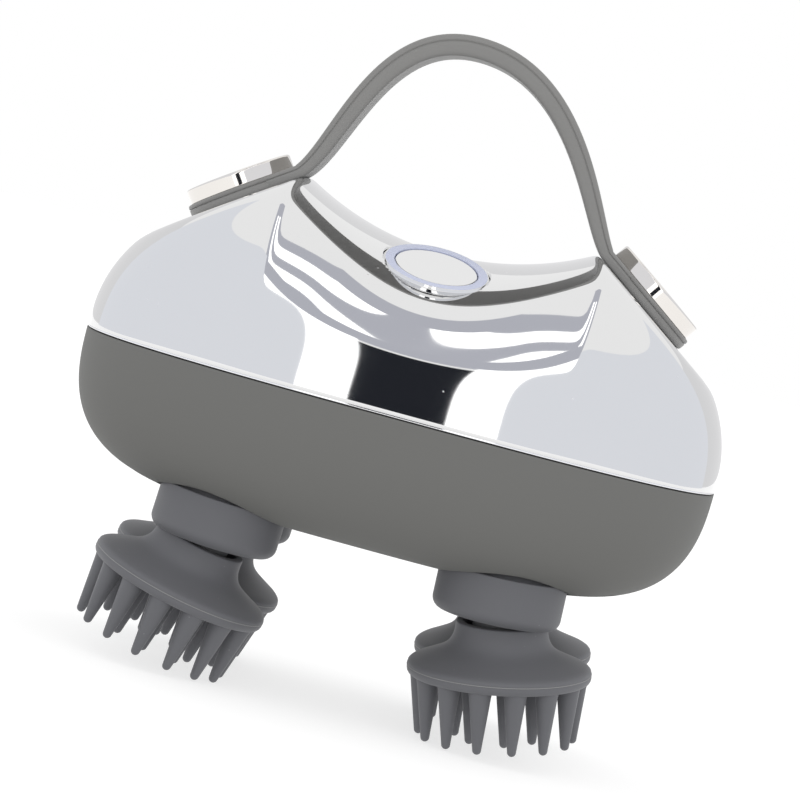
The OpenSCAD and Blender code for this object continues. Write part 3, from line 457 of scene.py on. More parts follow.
class MassagerShape(bpy.types.PropertyGroup):
    """Details of the visible surfaces that may change without moving any piece."""

    columns: bpy.props.IntProperty(
        name="Housing Columns", description="Points across the upper shell", default=180, min=40, max=200)
    seam_depth: bpy.props.FloatProperty(
        name="Seam Depth", description="Depth of the strap's moulding seam",
        default=0.00022, min=0, max=0.0006, unit="LENGTH")
    lathe_steps: bpy.props.IntProperty(
        name="Round Steps", description="Points round each turned piece", default=128, min=32, max=256)
    nub_steps: bpy.props.IntProperty(
        name="Nub Steps", description="Points round each nub", default=20, min=8, max=32)


class MassagerStage(bpy.types.PropertyGroup):
    """Camera, floor and light."""

    azimuth: bpy.props.FloatProperty(
        name="Azimuth", description="Camera's angle round the object", default=rad(1.7), subtype="ANGLE")
    elevation: bpy.props.FloatProperty(
        name="Elevation", description="Camera's angle above the horizon", default=rad(3.07), subtype="ANGLE")
    roll: bpy.props.FloatProperty(
        name="Roll", description="Turn of the camera about its own axis", default=rad(15.1), subtype="ANGLE")
    distance: bpy.props.FloatProperty(
        name="Distance", description="Camera's distance", default=0.85, min=0.3, max=3, unit="LENGTH")
    scale: bpy.props.FloatProperty(
        name="Scale", description="Pixels for each millimetre at the parting plane",
        default=4.67, min=1, max=10)
    middle_x: bpy.props.FloatProperty(
        name="Middle X", description="Pixels from the picture's middle to the parting plane's, to the right",
        default=2.1)
    middle_y: bpy.props.FloatProperty(
        name="Middle Y", description="Pixels from the picture's middle to the parting plane's, downwards",
        default=6.5)
    sky: bpy.props.FloatProperty(
        name="Room Light", description="Strength of the even light of the room", default=1.0, min=0, max=4)


def finish():
    return bpy.context.scene.massager_finish


def shape():
    return bpy.context.scene.massager_shape


# ---- Housing ---------------------------------------------------------------------


def even_plan(count):
    """Points of the superellipse plan outline at even distances along it, for half sizes of 1."""
    a = np.linspace(0, 2 * math.pi, 20001)
    c, s = np.cos(a), np.sin(a)
    x = HALF_L * np.sign(c) * np.abs(c) ** (2 / PLAN_POWER)
    y = HALF_D * np.sign(s) * np.abs(s) ** (2 / PLAN_POWER)
    run = np.concatenate([[0], np.cumsum(np.hypot(np.diff(x), np.diff(y)))])
    at = np.arange(count) * run[-1] / count
    return np.interp(at, run, x) / HALF_L, np.interp(at, run, y) / HALF_D


def open_hole(points, faces, flat, near, radius, project, half_slot=0.0):
    """Opens a round or slot-shaped hole: faces wholly inside it go, and the inner corners of the faces
    that cross its edge move onto the edge. flat gives each point in the hole's plane, near the points on
    its side, project a point of the surface for each place in that plane."""
    middle = np.clip(flat[:, 0], -half_slot, half_slot)
    off = flat - np.stack([middle, np.zeros(len(flat))], -1)
    reach = np.hypot(*off.T)
    inside = near & (reach < radius)
    gone = inside[faces].all(1)
    crossing = inside[faces].any(1) & ~gone
    moved = np.unique(faces[crossing][inside[faces[crossing]]])
    edge = off[moved] / np.maximum(reach[moved, None], 1e-9) * radius
    edge[:, 0] += middle[moved]
    points = points.copy()
    points[moved] = project(edge)
    return points, faces[~gone]


def shell_from(name, points, faces, thickness):
    """Shell with a wall: the outer skin, thickened inwards by a Solidify modifier."""
    used, index = np.unique(faces, return_inverse=True)
    obj = make_mesh(name, points[used], index.reshape(faces.shape), merge=0.01)
    point_outwards(obj)
    wall = obj.modifiers.new("wall", "SOLIDIFY")
    wall.thickness, wall.offset, wall.use_even_offset = thickness * MM, -1, False
    return obj


def point_outwards(obj):
    """Turns an open skin so that its faces point away from the middle of the housing."""
    mesh = obj.data
    normals, centres = np.empty(len(mesh.polygons) * 3), np.empty(len(mesh.polygons) * 3)
    mesh.polygons.foreach_get("normal", normals)
    mesh.polygons.foreach_get("center", centres)
    away = centres.reshape(-1, 3) - [0, 0, PART_Z * MM]
    if (normals.reshape(-1, 3) * away).sum() < 0:
        mesh.flip_normals()


class MASSAGER_OT_upper_shell(bpy.types.Operator):
    """Chrome upper shell. Its points are x along the length, y a sine of the column times the plan's half
    depth, and z the upper surface, with stations close together at the shoulders and ends, and a round
    hole for the button."""

    bl_idname = "massager.upper_shell"
    bl_label = "Upper Shell"

    def execute(self, context):
        share = np.linspace(1, 0, 25)[1:]
        near_w = (1 - (57 / HALF_L) ** PLAN_POWER) ** (1 / PLAN_POWER)
        ends = HALF_L * (1 - (near_w * share) ** PLAN_POWER) ** (1 / PLAN_POWER)
        half = np.concatenate([np.linspace(0, 27, 36), np.linspace(27, 57, 61)[1:], ends])
        x = np.concatenate([-half[:0:-1], half])
        v = np.sin(np.linspace(-math.pi / 2, math.pi / 2, shape().columns))
        grid_x, grid_v = np.meshgrid(x, v, indexing="ij")
        points = np.stack([grid_x, grid_v * plan_w(grid_x), UPPER_BASE + top_z(grid_x, grid_v)], -1)
        points = points.reshape(-1, 3)
        faces = grid_faces(len(x), len(v))
        rotation, origin = button_frame()
        local = (points - origin) @ rotation

        def onto_surface(flat):
            level = np.zeros(len(flat))
            for _ in range(8):
                p = np.column_stack([flat, level]) @ rotation.T + origin
                level -= (p[:, 2] - UPPER_BASE - top_z(p[:, 0], p[:, 1] / plan_w(p[:, 0]))) * rotation[2, 2]
            return np.column_stack([flat, level]) @ rotation.T + origin

        near = np.abs(local[:, 2]) < 9
        points, faces = open_hole(points, faces, local[:, :2], near, BEZEL_R + HOLE_PLAY, onto_surface)
        obj = shell_from("shell_chrome", points, faces, WALL)
        f = finish()
        plating = plated("chrome_plating", f.plating, f.plating_haze, 0.00001)
        dress(obj, "housing", plating, "chrome_shell", "upper_shell")
        return {"FINISHED"}


class MASSAGER_OT_lower_shell(bpy.types.Operator):
    """Soft-touch lower shell. Rings of the plan outline shrink towards the bottom as its depth grows,
    with four round openings for the heads, four screw recesses and the slot of the charging port."""

    bl_idname = "massager.lower_shell"
    bl_label = "Lower Shell"

    def execute(self, context):
        q = np.linspace(0.865, 0, 50)
        r = np.concatenate([np.linspace(0.004, 0.79, 46), (1 - q ** RIM_POWER) ** (1 / DEPTH_POWER)])
        px, py = even_plan(LOWER_STEPS)
        points = np.stack([np.outer(r, px) * HALF_L, np.outer(r, py) * HALF_D,
                           np.repeat((LOWER_BASE + lower_z(r))[:, None], LOWER_STEPS, 1)], -1).reshape(-1, 3)
        points = np.vstack([points, [0, 0, LOWER_BASE - LOWER_H]])
        ring = np.arange(LOWER_STEPS)
        bottom = np.full(LOWER_STEPS, len(points) - 1)
        cap = np.column_stack([ring, np.roll(ring, -1), bottom, bottom])
        faces = np.vstack([grid_faces(len(r), LOWER_STEPS, wrap=True), cap])

        def depth(x, y):
            total = (np.abs(x) / HALF_L) ** PLAN_POWER + (np.abs(y) / HALF_D) ** PLAN_POWER
            return LOWER_BASE + lower_z(total ** (1 / PLAN_POWER))

        everywhere = np.ones(len(points), bool)
        holes = [(sx * HEAD_X, sy * HEAD_Y, COLLAR_R + HEAD_PLAY) for sx in (-1, 1) for sy in (-1, 1)]
        holes += [(sx * SCREW_X, sy * SCREW_Y, SCREW_R) for sx in (-1, 1) for sy in (-1, 1)]
        for hx, hy, radius in holes:
            def under(flat, hx=hx, hy=hy):
                return np.column_stack([flat + [hx, hy], depth(flat[:, 0] + hx, flat[:, 1] + hy)])
            points, faces = open_hole(points, faces, points[:, :2] - [hx, hy], everywhere, radius, under)
        level = LOWER_BASE - PORT_DROP

        def behind(flat):
            z = flat[:, 1] + level
            rim = (1 - np.clip((LOWER_BASE - z) / LOWER_H, 0, 1) ** RIM_POWER) ** (1 / DEPTH_POWER)
            y = HALF_D * (rim ** PLAN_POWER - (np.abs(flat[:, 0]) / HALF_L) ** PLAN_POWER) ** (1 / PLAN_POWER)
            return np.column_stack([flat[:, 0], y, z])

        at_back = points[:, 1] > 35
        flat = points[:, [0, 2]] - [0, level]
        points, faces = open_hole(points, faces, flat, at_back, PORT_R, behind, PORT_HALF)
        obj = shell_from("shell_soft_touch", points, faces, WALL)
        f = finish()
        coating = matte("soft_touch", f.coating, 0.52, 5200.0, 0.000012, 0.03, 0.05, 0.35)
        dress(obj, "housing", coating, "soft_touch", "lower_shell")
        return {"FINISHED"}


class MASSAGER_OT_trim_ring(bpy.types.Operator):
    """Bright line at the parting and the groove under it, coloured near black as painted shade: two strips
    carried along the plan outline.
    """

    bl_idname = "massager.trim_ring"
    bl_label = "Trim Ring"

    def execute(self, context):
        px, py = even_plan(TRIM_STEPS)
        line = [(2.0, -0.1), (0.3, -0.1), (0.16, -0.06), (0.1, 0.02), (0.1, 0.18), (0.16, 0.3), (0.3, 0.35),
                (2.0, 0.35), (2.0, -0.1)]
        groove = [(2.0, -0.35), (0.4, -0.35), (0.4, -0.1), (2.0, -0.1), (2.0, -0.35)]
        bright = plated("chrome_line", (0.9, 0.9, 0.92), 0.05)
        # The groove strip is a real recess, but its near-black colour is painted shade standing in for the
        # shade inside the parting gap.
        painted_groove_shade = matte("parting_groove_painted_shade", (0.015, 0.015, 0.017), 0.6, 3000.0, 0.00001)
        strips = (("trim_line", line, bright, ["trim_ring"]), ("trim_groove_painted_shade", groove, painted_groove_shade, []))
        for name, section, material, nodes in strips:
            inset, z = np.array(section).T
            points = np.stack([np.outer(HALF_L - inset, px), np.outer(HALF_D - inset, py),
                               np.repeat((PART_Z + z)[:, None], TRIM_STEPS, 1)], -1)
            obj = make_mesh(name, points.reshape(-1, 3), grid_faces(len(points), TRIM_STEPS, wrap=True))
            dress(obj, "housing", material, "chrome_trim", *nodes)
        return {"FINISHED"}


# ---- Strap -----------------------------------------------------------------------


def loop_line(count):
    """Middle line of the strap: two cubic curves from the tabs to the top, as x and height over the upper
    shell's base, with the thickness at each point."""
    tab_x = SHOULDER_X + (TAB_R + 1.6) * math.cos(rad(PAD_ANGLE))
    rise = TAB_T / 2 / math.cos(rad(PAD_ANGLE)) + 0.02
    foot_x = tab_x - (CAP_R + 0.1) * math.cos(rad(PAD_ANGLE))
    foot_z, apex_x, apex_z = float(pad_z(foot_x)) + rise, -3.6, LOOP_H - STRAP_T / 2
    t = np.linspace(0, 1, count)[:, None]
    halves = []
    for side, angle, pull, level in ((-1, 43, 9.4, 21.8), (1, 47, 7.8, 23.4)):
        a = np.array([side * foot_x, foot_z])
        b = a + pull * np.array([-side * math.cos(rad(angle)), math.sin(rad(angle))])
        c, d = np.array([apex_x + side * level, apex_z]), np.array([apex_x, apex_z])
        halves.append(a * (1 - t) ** 3 + 3 * b * t * (1 - t) ** 2 + 3 * c * t * t * (1 - t) + d * t ** 3)
    line = np.vstack([halves[0], halves[1][-2::-1]])
    step = np.linspace(0, 1, len(line))
    thick = TAB_T + (STRAP_T - TAB_T) * np.maximum(0, np.sin(math.pi * step)) ** 0.7
    starts = [np.array([[side * (foot_x + d), float(pad_z(foot_x + d)) + rise] for d in (9.0, 6.0, 3.0, 1.5)])
              for side in (-1, 1)]
    line = np.vstack([starts[0], line, starts[1][::-1]])
    thick = np.concatenate([np.full(4, TAB_T), thick, np.full(4, TAB_T)])
    return line, thick


def band_section(depth):
    """Half widths and heights round a flat band whose edges are rounded, with a moulding seam cut into
    each edge a third of the way down. Heights run from -0.5 to 0.5 of the thickness."""
    edge = [(0.0, 0.5), (0.5, 0.5), (0.8, 0.5), (0.93, 0.5), (0.962, 0.485), (0.985, 0.44), (0.996, 0.37),
            (1.0, 0.28), (1.0, 0.235)]
    notch = [(1.0 - depth, 0.205), (1.0 - depth, 0.175), (1.0, 0.145)]
    low = [(1.0, 0.0), (1.0, -0.2), (0.996, -0.33), (0.985, -0.41), (0.962, -0.475), (0.93, -0.5),
           (0.8, -0.5), (0.5, -0.5)]
    right = np.array(edge + notch + low)
    left = right[::-1] * [-1, 1]
    return np.vstack([right, [[0, -0.5]], left[:-1]])


class MASSAGER_OT_strap(bpy.types.Operator):
    """Silicone strap: a section with rounded edges and a moulding seam carried along the loop, and a
    round tab on each pad with the same seam round its edge."""

    bl_idname = "massager.strap"
    bl_label = "Strap"

    def execute(self, context):
        line, thick = loop_line(70)
        along = np.gradient(line, axis=0)
        along /= np.linalg.norm(along, axis=1)[:, None]
        depth = shape().seam_depth / MM
        section = band_section(depth / (STRAP_W / 2))
        across, out = section.T
        offset = np.outer(thick, out)
        points = np.stack([line[:, :1] - along[:, 1:] * offset,
                           np.repeat(across[None] * STRAP_W / 2, len(line), 0),
                           UPPER_BASE + line[:, 1:] + along[:, :1] * offset], -1)
        rows, columns = points.shape[:2]
        faces = [grid_faces(rows, columns, wrap=True)]
        points = points.reshape(-1, 3)
        middles = np.array([points[:columns].mean(0), points[-columns:].mean(0)])
        ring = np.arange(columns)
        for first, middle in ((0, len(points)), ((rows - 1) * columns, len(points) + 1)):
            centre = np.full(columns, middle)
            faces.append(np.column_stack([ring + first, np.roll(ring, -1) + first, centre, centre]))
        points = np.vstack([points, middles])
        tab = rounded([(0, 0.02), (TAB_R, 0.02), (TAB_R, TAB_T), (0, TAB_T)], (0.7, 0.45), arc=5)
        cut = np.array([(TAB_R, 1.96), (TAB_R - depth, 1.9), (TAB_R - depth, 1.8), (TAB_R, 1.74)])[::-1]
        at = int(np.argmax((tab[:, 0] > TAB_R - 0.01) & (tab[:, 1] > 1.2)))
        tab = np.vstack([tab[:at], cut, tab[at:]])
        steps = shape().lathe_steps
        for side in (-1, 1):
            grid = placed(lathe_points(tab, steps), pad_frame(side))
            faces.append(grid_faces(len(tab), steps, wrap=True, first=len(points)))
            points = np.vstack([points, grid])
        obj = make_mesh("strap_handle", points, np.vstack(faces))
        f = finish()
        skin = matte("strap_silicone_skin", f.strap, 0.5, 4200.0, f.grain, 0.04, 0.1, 0.4)
        dress(obj, "housing", skin, "strap_silicone", "strap")
        return {"FINISHED"}


class MASSAGER_OT_strap_caps(bpy.types.Operator):
    """Polished caps: a disc turned round its own axis, with a rounded upper edge, a small lower chamfer
    and a slightly crowned top."""

    bl_idname = "massager.strap_caps"
    bl_label = "Strap Caps"

    def execute(self, context):
        low, high = TAB_T + 0.01, TAB_T + CAP_T
        outline = [(0, low), (CAP_R, low), (CAP_R, high - 0.08), (CAP_R * 0.7, high - 0.02), (0, high)]
        profile = rounded(outline, (0.15, 0.5, 8.0), arc=6)
        material = plated("cap_plating", finish().cap, 0.05)
        for side, word in ((-1, "left"), (1, "right")):
            obj = lathe(f"cap_{word}", profile, pad_frame(side), shape().lathe_steps)
            dress(obj, "housing", material, "cap_metal", f"strap_cap_{word}")
        return {"FINISHED"}


# ---- Button ----------------------------------------------------------------------


class MASSAGER_OT_button(bpy.types.Operator):
    """Button: a pale flat ring with a bright bevelled edge, and a bright key just below its level."""

    bl_idname = "massager.button"
    bl_label = "Button"

    def execute(self, context):
        place, steps, f = button_frame(), shape().lathe_steps, finish()
        inner_edge = BEZEL_R - BEVEL_W
        ring = [(KEY_R, -4.5), (KEY_R, BEZEL_UP), (inner_edge, BEZEL_UP), (inner_edge, -1.5),
                (KEY_R + 1.0, -1.5), (KEY_R + 1.0, -4.5), (KEY_R, -4.5)]
        ring = rounded(ring, (0.12, 0.03, 0, 0, 0), arc=4, support=0.06)
        obj = lathe("button_ring_face", ring, place, steps)
        material = matte("ring_satin", f.ring, 0.3, 2500.0, 0.000004, 0.02)
        dress(obj, "housing", material, "light_ring", "button_bezel")
        edge = [(inner_edge, -1.9), (inner_edge, BEZEL_UP), (BEZEL_R - 0.4, BEZEL_UP),
                (BEZEL_R, BEZEL_UP - 0.45), (BEZEL_R - 0.25, -1.9), (inner_edge, -1.9)]
        edge = rounded(edge, (0.02, 0.08, 0.12, 0), arc=4, support=0.03)
        obj = lathe("button_ring_edge", edge, place, steps)
        dress(obj, "housing", plated("chrome_plating", f.plating, f.plating_haze), "chrome_key")
        key_edge, key_top = KEY_R - 0.15, BEZEL_UP - 0.2
        key = rounded([(0, key_top), (key_edge, key_top), (key_edge, -1.5), (0, -1.5)], (0.3, 0.1), arc=6)
        obj = lathe("button_key", key, place, steps)
        dress(obj, "button", plated("key_plating", f.plating, 0.03), "chrome_key", "power_button")
        return {"FINISHED"}


# ---- Massage heads ---------------------------------------------------------------


class MASSAGER_OT_collars(bpy.types.Operator):
    """Silicone collars: short turned boots with a rounded lower edge and an open, softly rounded middle
    round the post."""

    bl_idname = "massager.collars"
    bl_label = "Collars"

    def execute(self, context):
        length = (COLLAR_DROP - COLLAR_TOP) / math.cos(rad(COLLAR_LEAN))
        outline = [(COLLAR_R - 1.0, 0), (COLLAR_R, 0), (COLLAR_R, -length), (0, -length)]
        profile = rounded(outline, (0.3, 2.5), arc=10)
        lip = [(0, 0), (COLLAR_R - 2.4, 0), (COLLAR_R - 2.4, 1.5), (COLLAR_R - 1.0, 1.5)]
        profile = np.vstack([lip, profile])
        f = finish()
        material = matte("claw_silicone_skin", f.silicone, 0.55, 4200.0, f.grain, 0.05, 0.12, 0.35)
        for name in HEADS:
            place = lean_frame(name, COLLAR_TOP, COLLAR_LEAN)
            obj = lathe(f"boot_{name}", profile, place, shape().lathe_steps)
            dress(obj, f"head_{name}", material, "claw_silicone", f"collar_{name}")
        return {"FINISHED"}


def claw_profile():
    """Outline of a claw, from the floor of its socket out over the lip of the neck, down a concave flare,
    round the rim with its parting seam, and in along the underside. Heights count from the point that the
    post leans about."""
    mouth, top = -RIM_S + NECK_L, -RIM_S
    socket = [(0, top - 0.4), (CORE_R, top - 0.4), (CORE_R, mouth - 0.35), (CORE_R + 0.12, mouth - 0.08),
              (CORE_R + 0.4, mouth), (NECK_R - 0.3, mouth), (NECK_R - 0.06, mouth - 0.1),
              (NECK_R, mouth - 0.35)]
    flare = [(9.71, 8.4), (9.75, 7.6), (9.86, 6.8), (10.05, 6.0), (10.35, 5.3), (10.75, 4.6), (11.25, 4.0),
             (11.9, 3.45), (12.8, 2.9), (13.9, 2.35), (15.2, 1.8), (16.4, 1.3), (17.4, 0.9), (18.1, 0.62)]
    rim = [(18.6, 0.36), (19.0, 0.08), (19.28, -0.24), (19.36, -0.56), (SEAM_R, -0.8), (SEAM_R, -1.1),
           (19.44, -1.3), (19.44, -1.7), (19.36, -2.1), (19.14, -2.48), (18.8, -2.74), (18.4, -2.86),
           (17.9, -2.9), (0, -2.9)]
    flare, rim = ([(r, top + h) for r, h in run] for run in (flare, rim))
    return np.array(socket + flare + rim)


def nub_profile():
    """Outline of a nub: a root sunk into the claw, a straight cone and a round tip; heights count down
    from the underside."""
    tip = [(TIP_R * math.cos(rad(a)), -NUB_L + TIP_R - TIP_R * math.sin(rad(a))) for a in range(0, 91, 18)]
    lean = (NUB_R - TIP_R) / (NUB_L - TIP_R)
    cone = [(NUB_R - lean * d, -d) for d in (0.9, 3.0, 6.0, 9.0, 11.5)]
    return np.array([(NUB_R + 0.1, 1.0), (NUB_R + 0.06, 0.2), (NUB_R + 0.02, -0.2)] + cone + tip) * [1, 0.998]


class MASSAGER_OT_claws(bpy.types.Operator):
    """Silicone claws: a turned body with an open neck, and rings of turned nubs under it."""

    bl_idname = "massager.claws"
    bl_label = "Claws"

    def execute(self, context):
        steps, nub_steps = CLAW_STEPS, shape().nub_steps
        body, nub = claw_profile(), nub_profile()
        grid = lathe_points(body, steps).reshape(-1, 3)
        faces = [grid_faces(len(body), steps, wrap=True)]
        count = len(grid)
        parts = [grid]
        one = lathe_points(nub, nub_steps).reshape(-1, 3)
        places = [(OUTER_RING_R, 180 + 360 * k / OUTER_NUBS) for k in range(OUTER_NUBS)]
        places += [(INNER_RING_R, 180 + 360 * (k + 0.5) / INNER_NUBS) for k in range(INNER_NUBS)]
        for ring, angle in places:
            centre = np.array([ring * math.cos(rad(angle)), ring * math.sin(rad(angle)), -RIM_S - RIM_T])
            faces.append(grid_faces(len(nub), nub_steps, wrap=True, first=count))
            parts.append(one + centre)
            count += len(one)
        points, faces = np.vstack(parts), np.vstack(faces)
        f = finish()
        material = matte("claw_silicone_skin", f.silicone, 0.55, 4200.0, f.grain, 0.05, 0.12, 0.35)
        turns = np.radians(np.arange(0, 360, 45))
        bead = np.column_stack([SEAM_R + BEAD_R * np.cos(turns), -RIM_S - SEAM_DROP + BEAD_R * np.sin(turns)])
        bead = bead[[*range(8), 0]]
        for name in HEADS:
            place = lean_frame(name, LEAN_DROP, POST_LEAN)
            obj = make_mesh(f"silicone_claw_{name}", placed(points, place), faces)
            dress(obj, f"claw_unit_{name}", material, "claw_silicone", f"claw_{name}")
            seam = lathe(f"claw_seam_{name}", bead, place, steps)
            # The bead is a real raised seam; its lighter colour is a painted highlight on the same silicone.
            seam_highlight_skin = matte("seam_silicone_painted_highlight", f.seam, 0.5, 4200.0, f.grain, 0.04)
            dress(seam, f"claw_unit_{name}", seam_highlight_skin, "claw_silicone")
        return {"FINISHED"}


# ---- Inner pieces ----------------------------------------------------------------

INNER_FINISH = {
    "steel": ("steel", (0.62, 0.62, 0.64), 0.25), "brass": ("metal", (0.75, 0.58, 0.25), 0.3),
    "rotor_metal": ("metal", (0.45, 0.32, 0.22), 0.4), "black_rubber": ("matte", (0.02, 0.02, 0.02), 0.7),
    "circuit_board": ("matte", (0.02, 0.13, 0.06), 0.35), "black_plastic": ("matte", (0.03, 0.03, 0.03), 0.5),
    "dark_plastic": ("matte", (0.06, 0.06, 0.065), 0.5), "gear_plastic": ("matte", (0.72, 0.7, 0.62), 0.35),
    "cell_wrap": ("matte", (0.05, 0.2, 0.42), 0.3), "plug_silicone": ("matte", (0.13, 0.13, 0.128), 0.55),
    "wire_jacket": ("matte", (0.42, 0.03, 0.03), 0.5), "hub_plastic": ("matte", (0.15, 0.152, 0.16), 0.45),
    "core_plastic": ("matte", (0.4, 0.4, 0.42), 0.4), "chrome_key": ("metal", (0.9, 0.9, 0.92), 0.05),
    "cap_metal": ("metal", (0.86, 0.83, 0.8), 0.06), "chrome_trim": ("metal", (0.9, 0.9, 0.92), 0.05),
    "chrome_shell": ("metal", (0.9, 0.9, 0.92), 0.05), "soft_touch": ("matte", (0.155, 0.155, 0.148), 0.52),
    "strap_silicone": ("matte", (0.2, 0.2, 0.2), 0.5), "light_ring": ("matte", (0.6, 0.64, 0.82), 0.3),
    "claw_silicone": ("matte", (0.125, 0.127, 0.136), 0.55),
}


class MASSAGER_OT_inner_pieces(bpy.types.Operator):
    """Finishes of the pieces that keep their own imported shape, by their material slots."""

    bl_idname = "massager.inner_pieces"
    bl_label = "Inner Pieces"

    def execute(self, context):
        slots = {part["node"]: part["material_slot"] for part in frame["record"]["subparts"]}
        for node, obj in frame["nodes"].items():
            kind, colour, roughness = INNER_FINISH[slots[node]]
            name = f"frame_{slots[node]}"
            if kind == "matte":
                material = matte(name, colour, roughness, 3000.0, 0.00001)
            else:
                material = plated(name, colour, roughness)
            obj.data.materials.clear()
            obj.data.materials.append(material)
        return {"FINISHED"}


# ---- Stage -----------------------------------------------------------------------


SENSOR, FRAME_WIDTH = 36, 800
FLOOR_R, FLOOR_RINGS, FLOOR_STEPS = 3000, 40, 96
WHITE, COOL_GREY, CEILING_GREY, DARK = (1, 1, 1), (0.85, 0.87, 0.92), (0.53, 0.54, 0.60), (0.018, 0.02, 0.026)
# Upright panels stand round the housing: first and last azimuth and lowest and highest elevation in
# degrees, distance, colour, strength.
UPRIGHT_PANELS = {
    "wall_back": (130, 230, -12, 30, 1750, (0.80, 0.80, 0.81), 1.0),
    "wall_left": (-130, -13, -12, 50, 1640, COOL_GREY, 1.0),
    "wall_right": (10, 130, -12, 45, 1640, COOL_GREY, 1.0),
    "soft_box_left": (-13, -5, -12, 42, 1620, WHITE, 1.7),
    "soft_box_right": (2, 10, -12, 42, 1620, WHITE, 1.7),
    "camera_stand": (-5, 2, -12, 40, 1590, DARK, 1.0),
}
# Level panels hang over the housing: lowest and highest x and y, height over the parting plane, colour,
# strength.
LEVEL_PANELS = {
    "ceiling": (-380, 270, -1700, 100, 1515, CEILING_GREY, 1.0),
    "lamp_left": (-130, -50, -900, -200, 1015, WHITE, 1.7),
    "lamp_right": (20, 100, -900, -200, 1015, WHITE, 1.7),
}


def light_panel(name, points, colour, strength):
    """Plain panel of one even colour from a grid of points, seen only in reflections."""
    rows, columns = points.shape[:2]
    obj = make_mesh(name, points.reshape(-1, 3), grid_faces(rows, columns))
    material, _, shader = new_material(name)
    shader.inputs["Base Color"].default_value = (0, 0, 0, 1)
    shader.inputs["Specular IOR Level"].default_value = 0
    shader.inputs["Emission Color"].default_value = (*colour, 1)
    shader.inputs["Emission Strength"].default_value = strength
    obj.data.materials.append(material)
    obj.visible_camera = obj.visible_diffuse = obj.visible_shadow = False


def upright_panel(name, start, end, low, high, distance, colour, strength):
    """Panel bent round the housing: distance * (sin a cos e, -cos a cos e, sin e) over an oblong of
    azimuths a and elevations e."""
    azimuths, elevations = np.radians(np.linspace(start, end, 48)), np.radians(np.linspace(low, high, 16))
    a, e = np.meshgrid(azimuths, elevations, indexing="ij")
    way = np.stack([np.sin(a) * np.cos(e), -np.cos(a) * np.cos(e), np.sin(e)], -1)
    light_panel(name, [0, 0, PART_Z] + distance * way, colour, strength)


def level_panel(name, x0, x1, y0, y1, height, colour, strength):
    """Flat level oblong panel."""
    x, y = np.meshgrid([x0, x1], [y0, y1])
    light_panel(name, np.stack([x, y, np.full((2, 2), PART_Z + height)], -1), colour, strength)


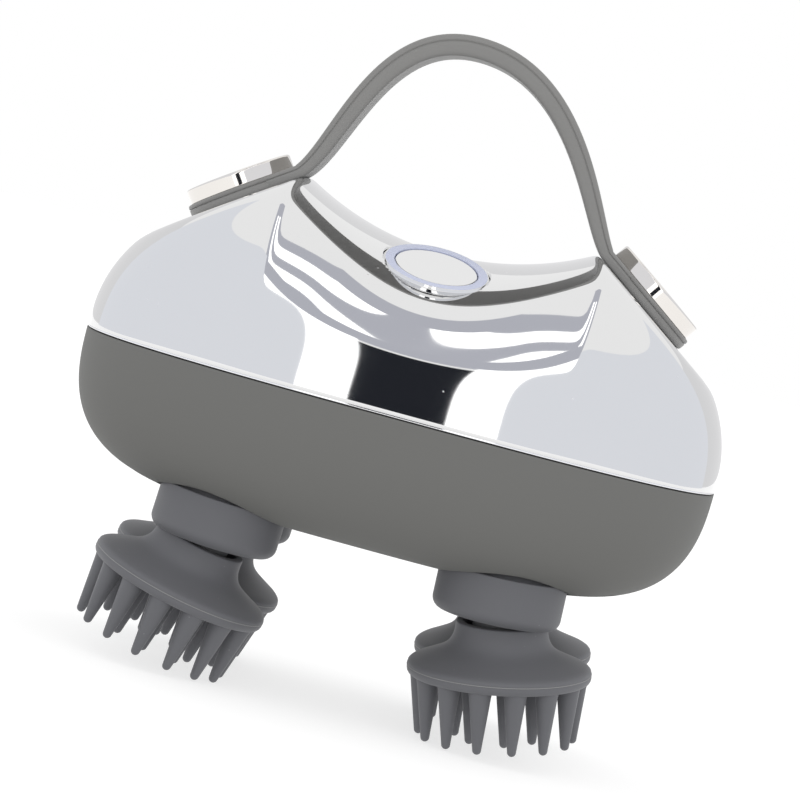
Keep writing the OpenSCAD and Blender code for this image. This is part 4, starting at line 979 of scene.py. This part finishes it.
class MASSAGER_OT_stage(bpy.types.Operator):
    """Plain pale floor, even light of a white room, plain light panels, and the camera."""

    bl_idname = "massager.stage"
    bl_label = "Stage"

    def execute(self, context):
        scene = context.scene
        s = scene.massager_stage
        scene.view_settings.view_transform = "Standard"
        scene.view_settings.look = "None"
        world = bpy.data.worlds.new("white_room")
        world.use_nodes = True
        sky = world.node_tree.nodes["Background"]
        sky.inputs["Color"].default_value = (1, 1, 1, 1)
        tree = world.node_tree
        height = tree.nodes.new("ShaderNodeSeparateXYZ")
        tree.links.new(tree.nodes.new("ShaderNodeTexCoord").outputs["Generated"], height.inputs[0])
        level = tree.nodes.new("ShaderNodeMapRange")
        tree.links.new(height.outputs[2], level.inputs["Value"])
        level.inputs["From Min"].default_value, level.inputs["From Max"].default_value = -0.4, -0.06
        level.inputs["To Min"].default_value, level.inputs["To Max"].default_value = s.sky * 0.7, s.sky
        tree.links.new(level.outputs[0], sky.inputs["Strength"])
        scene.world = world
        radius = np.linspace(0, FLOOR_R, FLOOR_RINGS)
        grid = lathe_points(np.column_stack([radius, np.zeros(FLOOR_RINGS)]), FLOOR_STEPS)
        floor = make_mesh("stage_floor", grid.reshape(-1, 3), grid_faces(FLOOR_RINGS, FLOOR_STEPS, wrap=True))
        if floor.data.polygons[0].normal.z < 0:
            floor.data.flip_normals()
        material, _, shader = new_material("pale_floor")
        shader.inputs["Base Color"].default_value = (0.40, 0.40, 0.40, 1)
        shader.inputs["Roughness"].default_value = 0.9
        shader.inputs["Specular IOR Level"].default_value = 0.1
        shader.inputs["Emission Color"].default_value = (1, 1, 1, 1)
        shader.inputs["Emission Strength"].default_value = 0.70
        floor.data.materials.append(material)
        floor.visible_diffuse = False
        for name, settings in UPRIGHT_PANELS.items():
            upright_panel(name, *settings)
        for name, settings in LEVEL_PANELS.items():
            level_panel(name, *settings)
        self.camera(scene, s)
        return {"FINISHED"}

    def camera(self, scene, s):
        """Long lens at the given angle and roll, with the parting plane's middle set off from the
        picture's."""
        a, e, t = s.azimuth, s.elevation, s.roll
        back = np.array([math.sin(a) * math.cos(e), -math.cos(a) * math.cos(e), math.sin(e)])
        level = np.array([math.cos(a), math.sin(a), 0])
        rise = np.cross(back, level)
        right, up = math.cos(t) * level + math.sin(t) * rise, -math.sin(t) * level + math.cos(t) * rise
        eye = (np.array([0, 0, PART_Z]) + (up * s.middle_y - right * s.middle_x) / s.scale
               + back * s.distance / MM)
        data = bpy.data.cameras.new("camera")
        data.sensor_width = SENSOR
        data.lens = s.scale * s.distance / MM * SENSOR / FRAME_WIDTH
        data.clip_start, data.clip_end = 0.05, 20
        data.dof.use_dof = False
        obj = bpy.data.objects.new("camera", data)
        scene.collection.objects.link(obj)
        place = np.eye(4)
        place[:3, 0], place[:3, 1], place[:3, 2], place[:3, 3] = right, up, back, eye * MM
        obj.matrix_world = Matrix(place.tolist())
        scene.camera = obj


# ---- Panel and registration ------------------------------------------------------

PIECES = (
    MASSAGER_OT_inner_pieces,
    MASSAGER_OT_upper_shell,
    MASSAGER_OT_lower_shell,
    MASSAGER_OT_trim_ring,
    MASSAGER_OT_strap,
    MASSAGER_OT_strap_caps,
    MASSAGER_OT_button,
    MASSAGER_OT_collars,
    MASSAGER_OT_claws,
    MASSAGER_OT_stage,
)


class MASSAGER_PT_panel(bpy.types.Panel):
    """Lists the pieces and their settings."""

    bl_idname = "MASSAGER_PT_panel"
    bl_label = "Scalp Massager"
    bl_space_type = "VIEW_3D"
    bl_region_type = "UI"
    bl_category = "Massager"

    def draw(self, context):
        for piece in PIECES:
            self.layout.operator(piece.bl_idname)
        for group in ("massager_finish", "massager_shape", "massager_stage"):
            box = self.layout.box()
            settings = getattr(context.scene, group)
            for key in settings.__annotations__:
                box.prop(settings, key)


CLASSES = (MassagerFinish, MassagerShape, MassagerStage, *PIECES, MASSAGER_PT_panel)


def register():
    for cls in CLASSES:
        bpy.utils.register_class(cls)
    bpy.types.Scene.massager_finish = bpy.props.PointerProperty(type=MassagerFinish)
    bpy.types.Scene.massager_shape = bpy.props.PointerProperty(type=MassagerShape)
    bpy.types.Scene.massager_stage = bpy.props.PointerProperty(type=MassagerStage)


def unregister():
    del bpy.types.Scene.massager_finish, bpy.types.Scene.massager_shape, bpy.types.Scene.massager_stage
    for cls in reversed(CLASSES):
        bpy.utils.unregister_class(cls)


def main():
    """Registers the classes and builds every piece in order."""
    register()
    for piece in PIECES:
        name = piece.bl_idname.split(".")[1]
        getattr(bpy.ops.massager, name)()


if __name__ == "__main__":
    main()
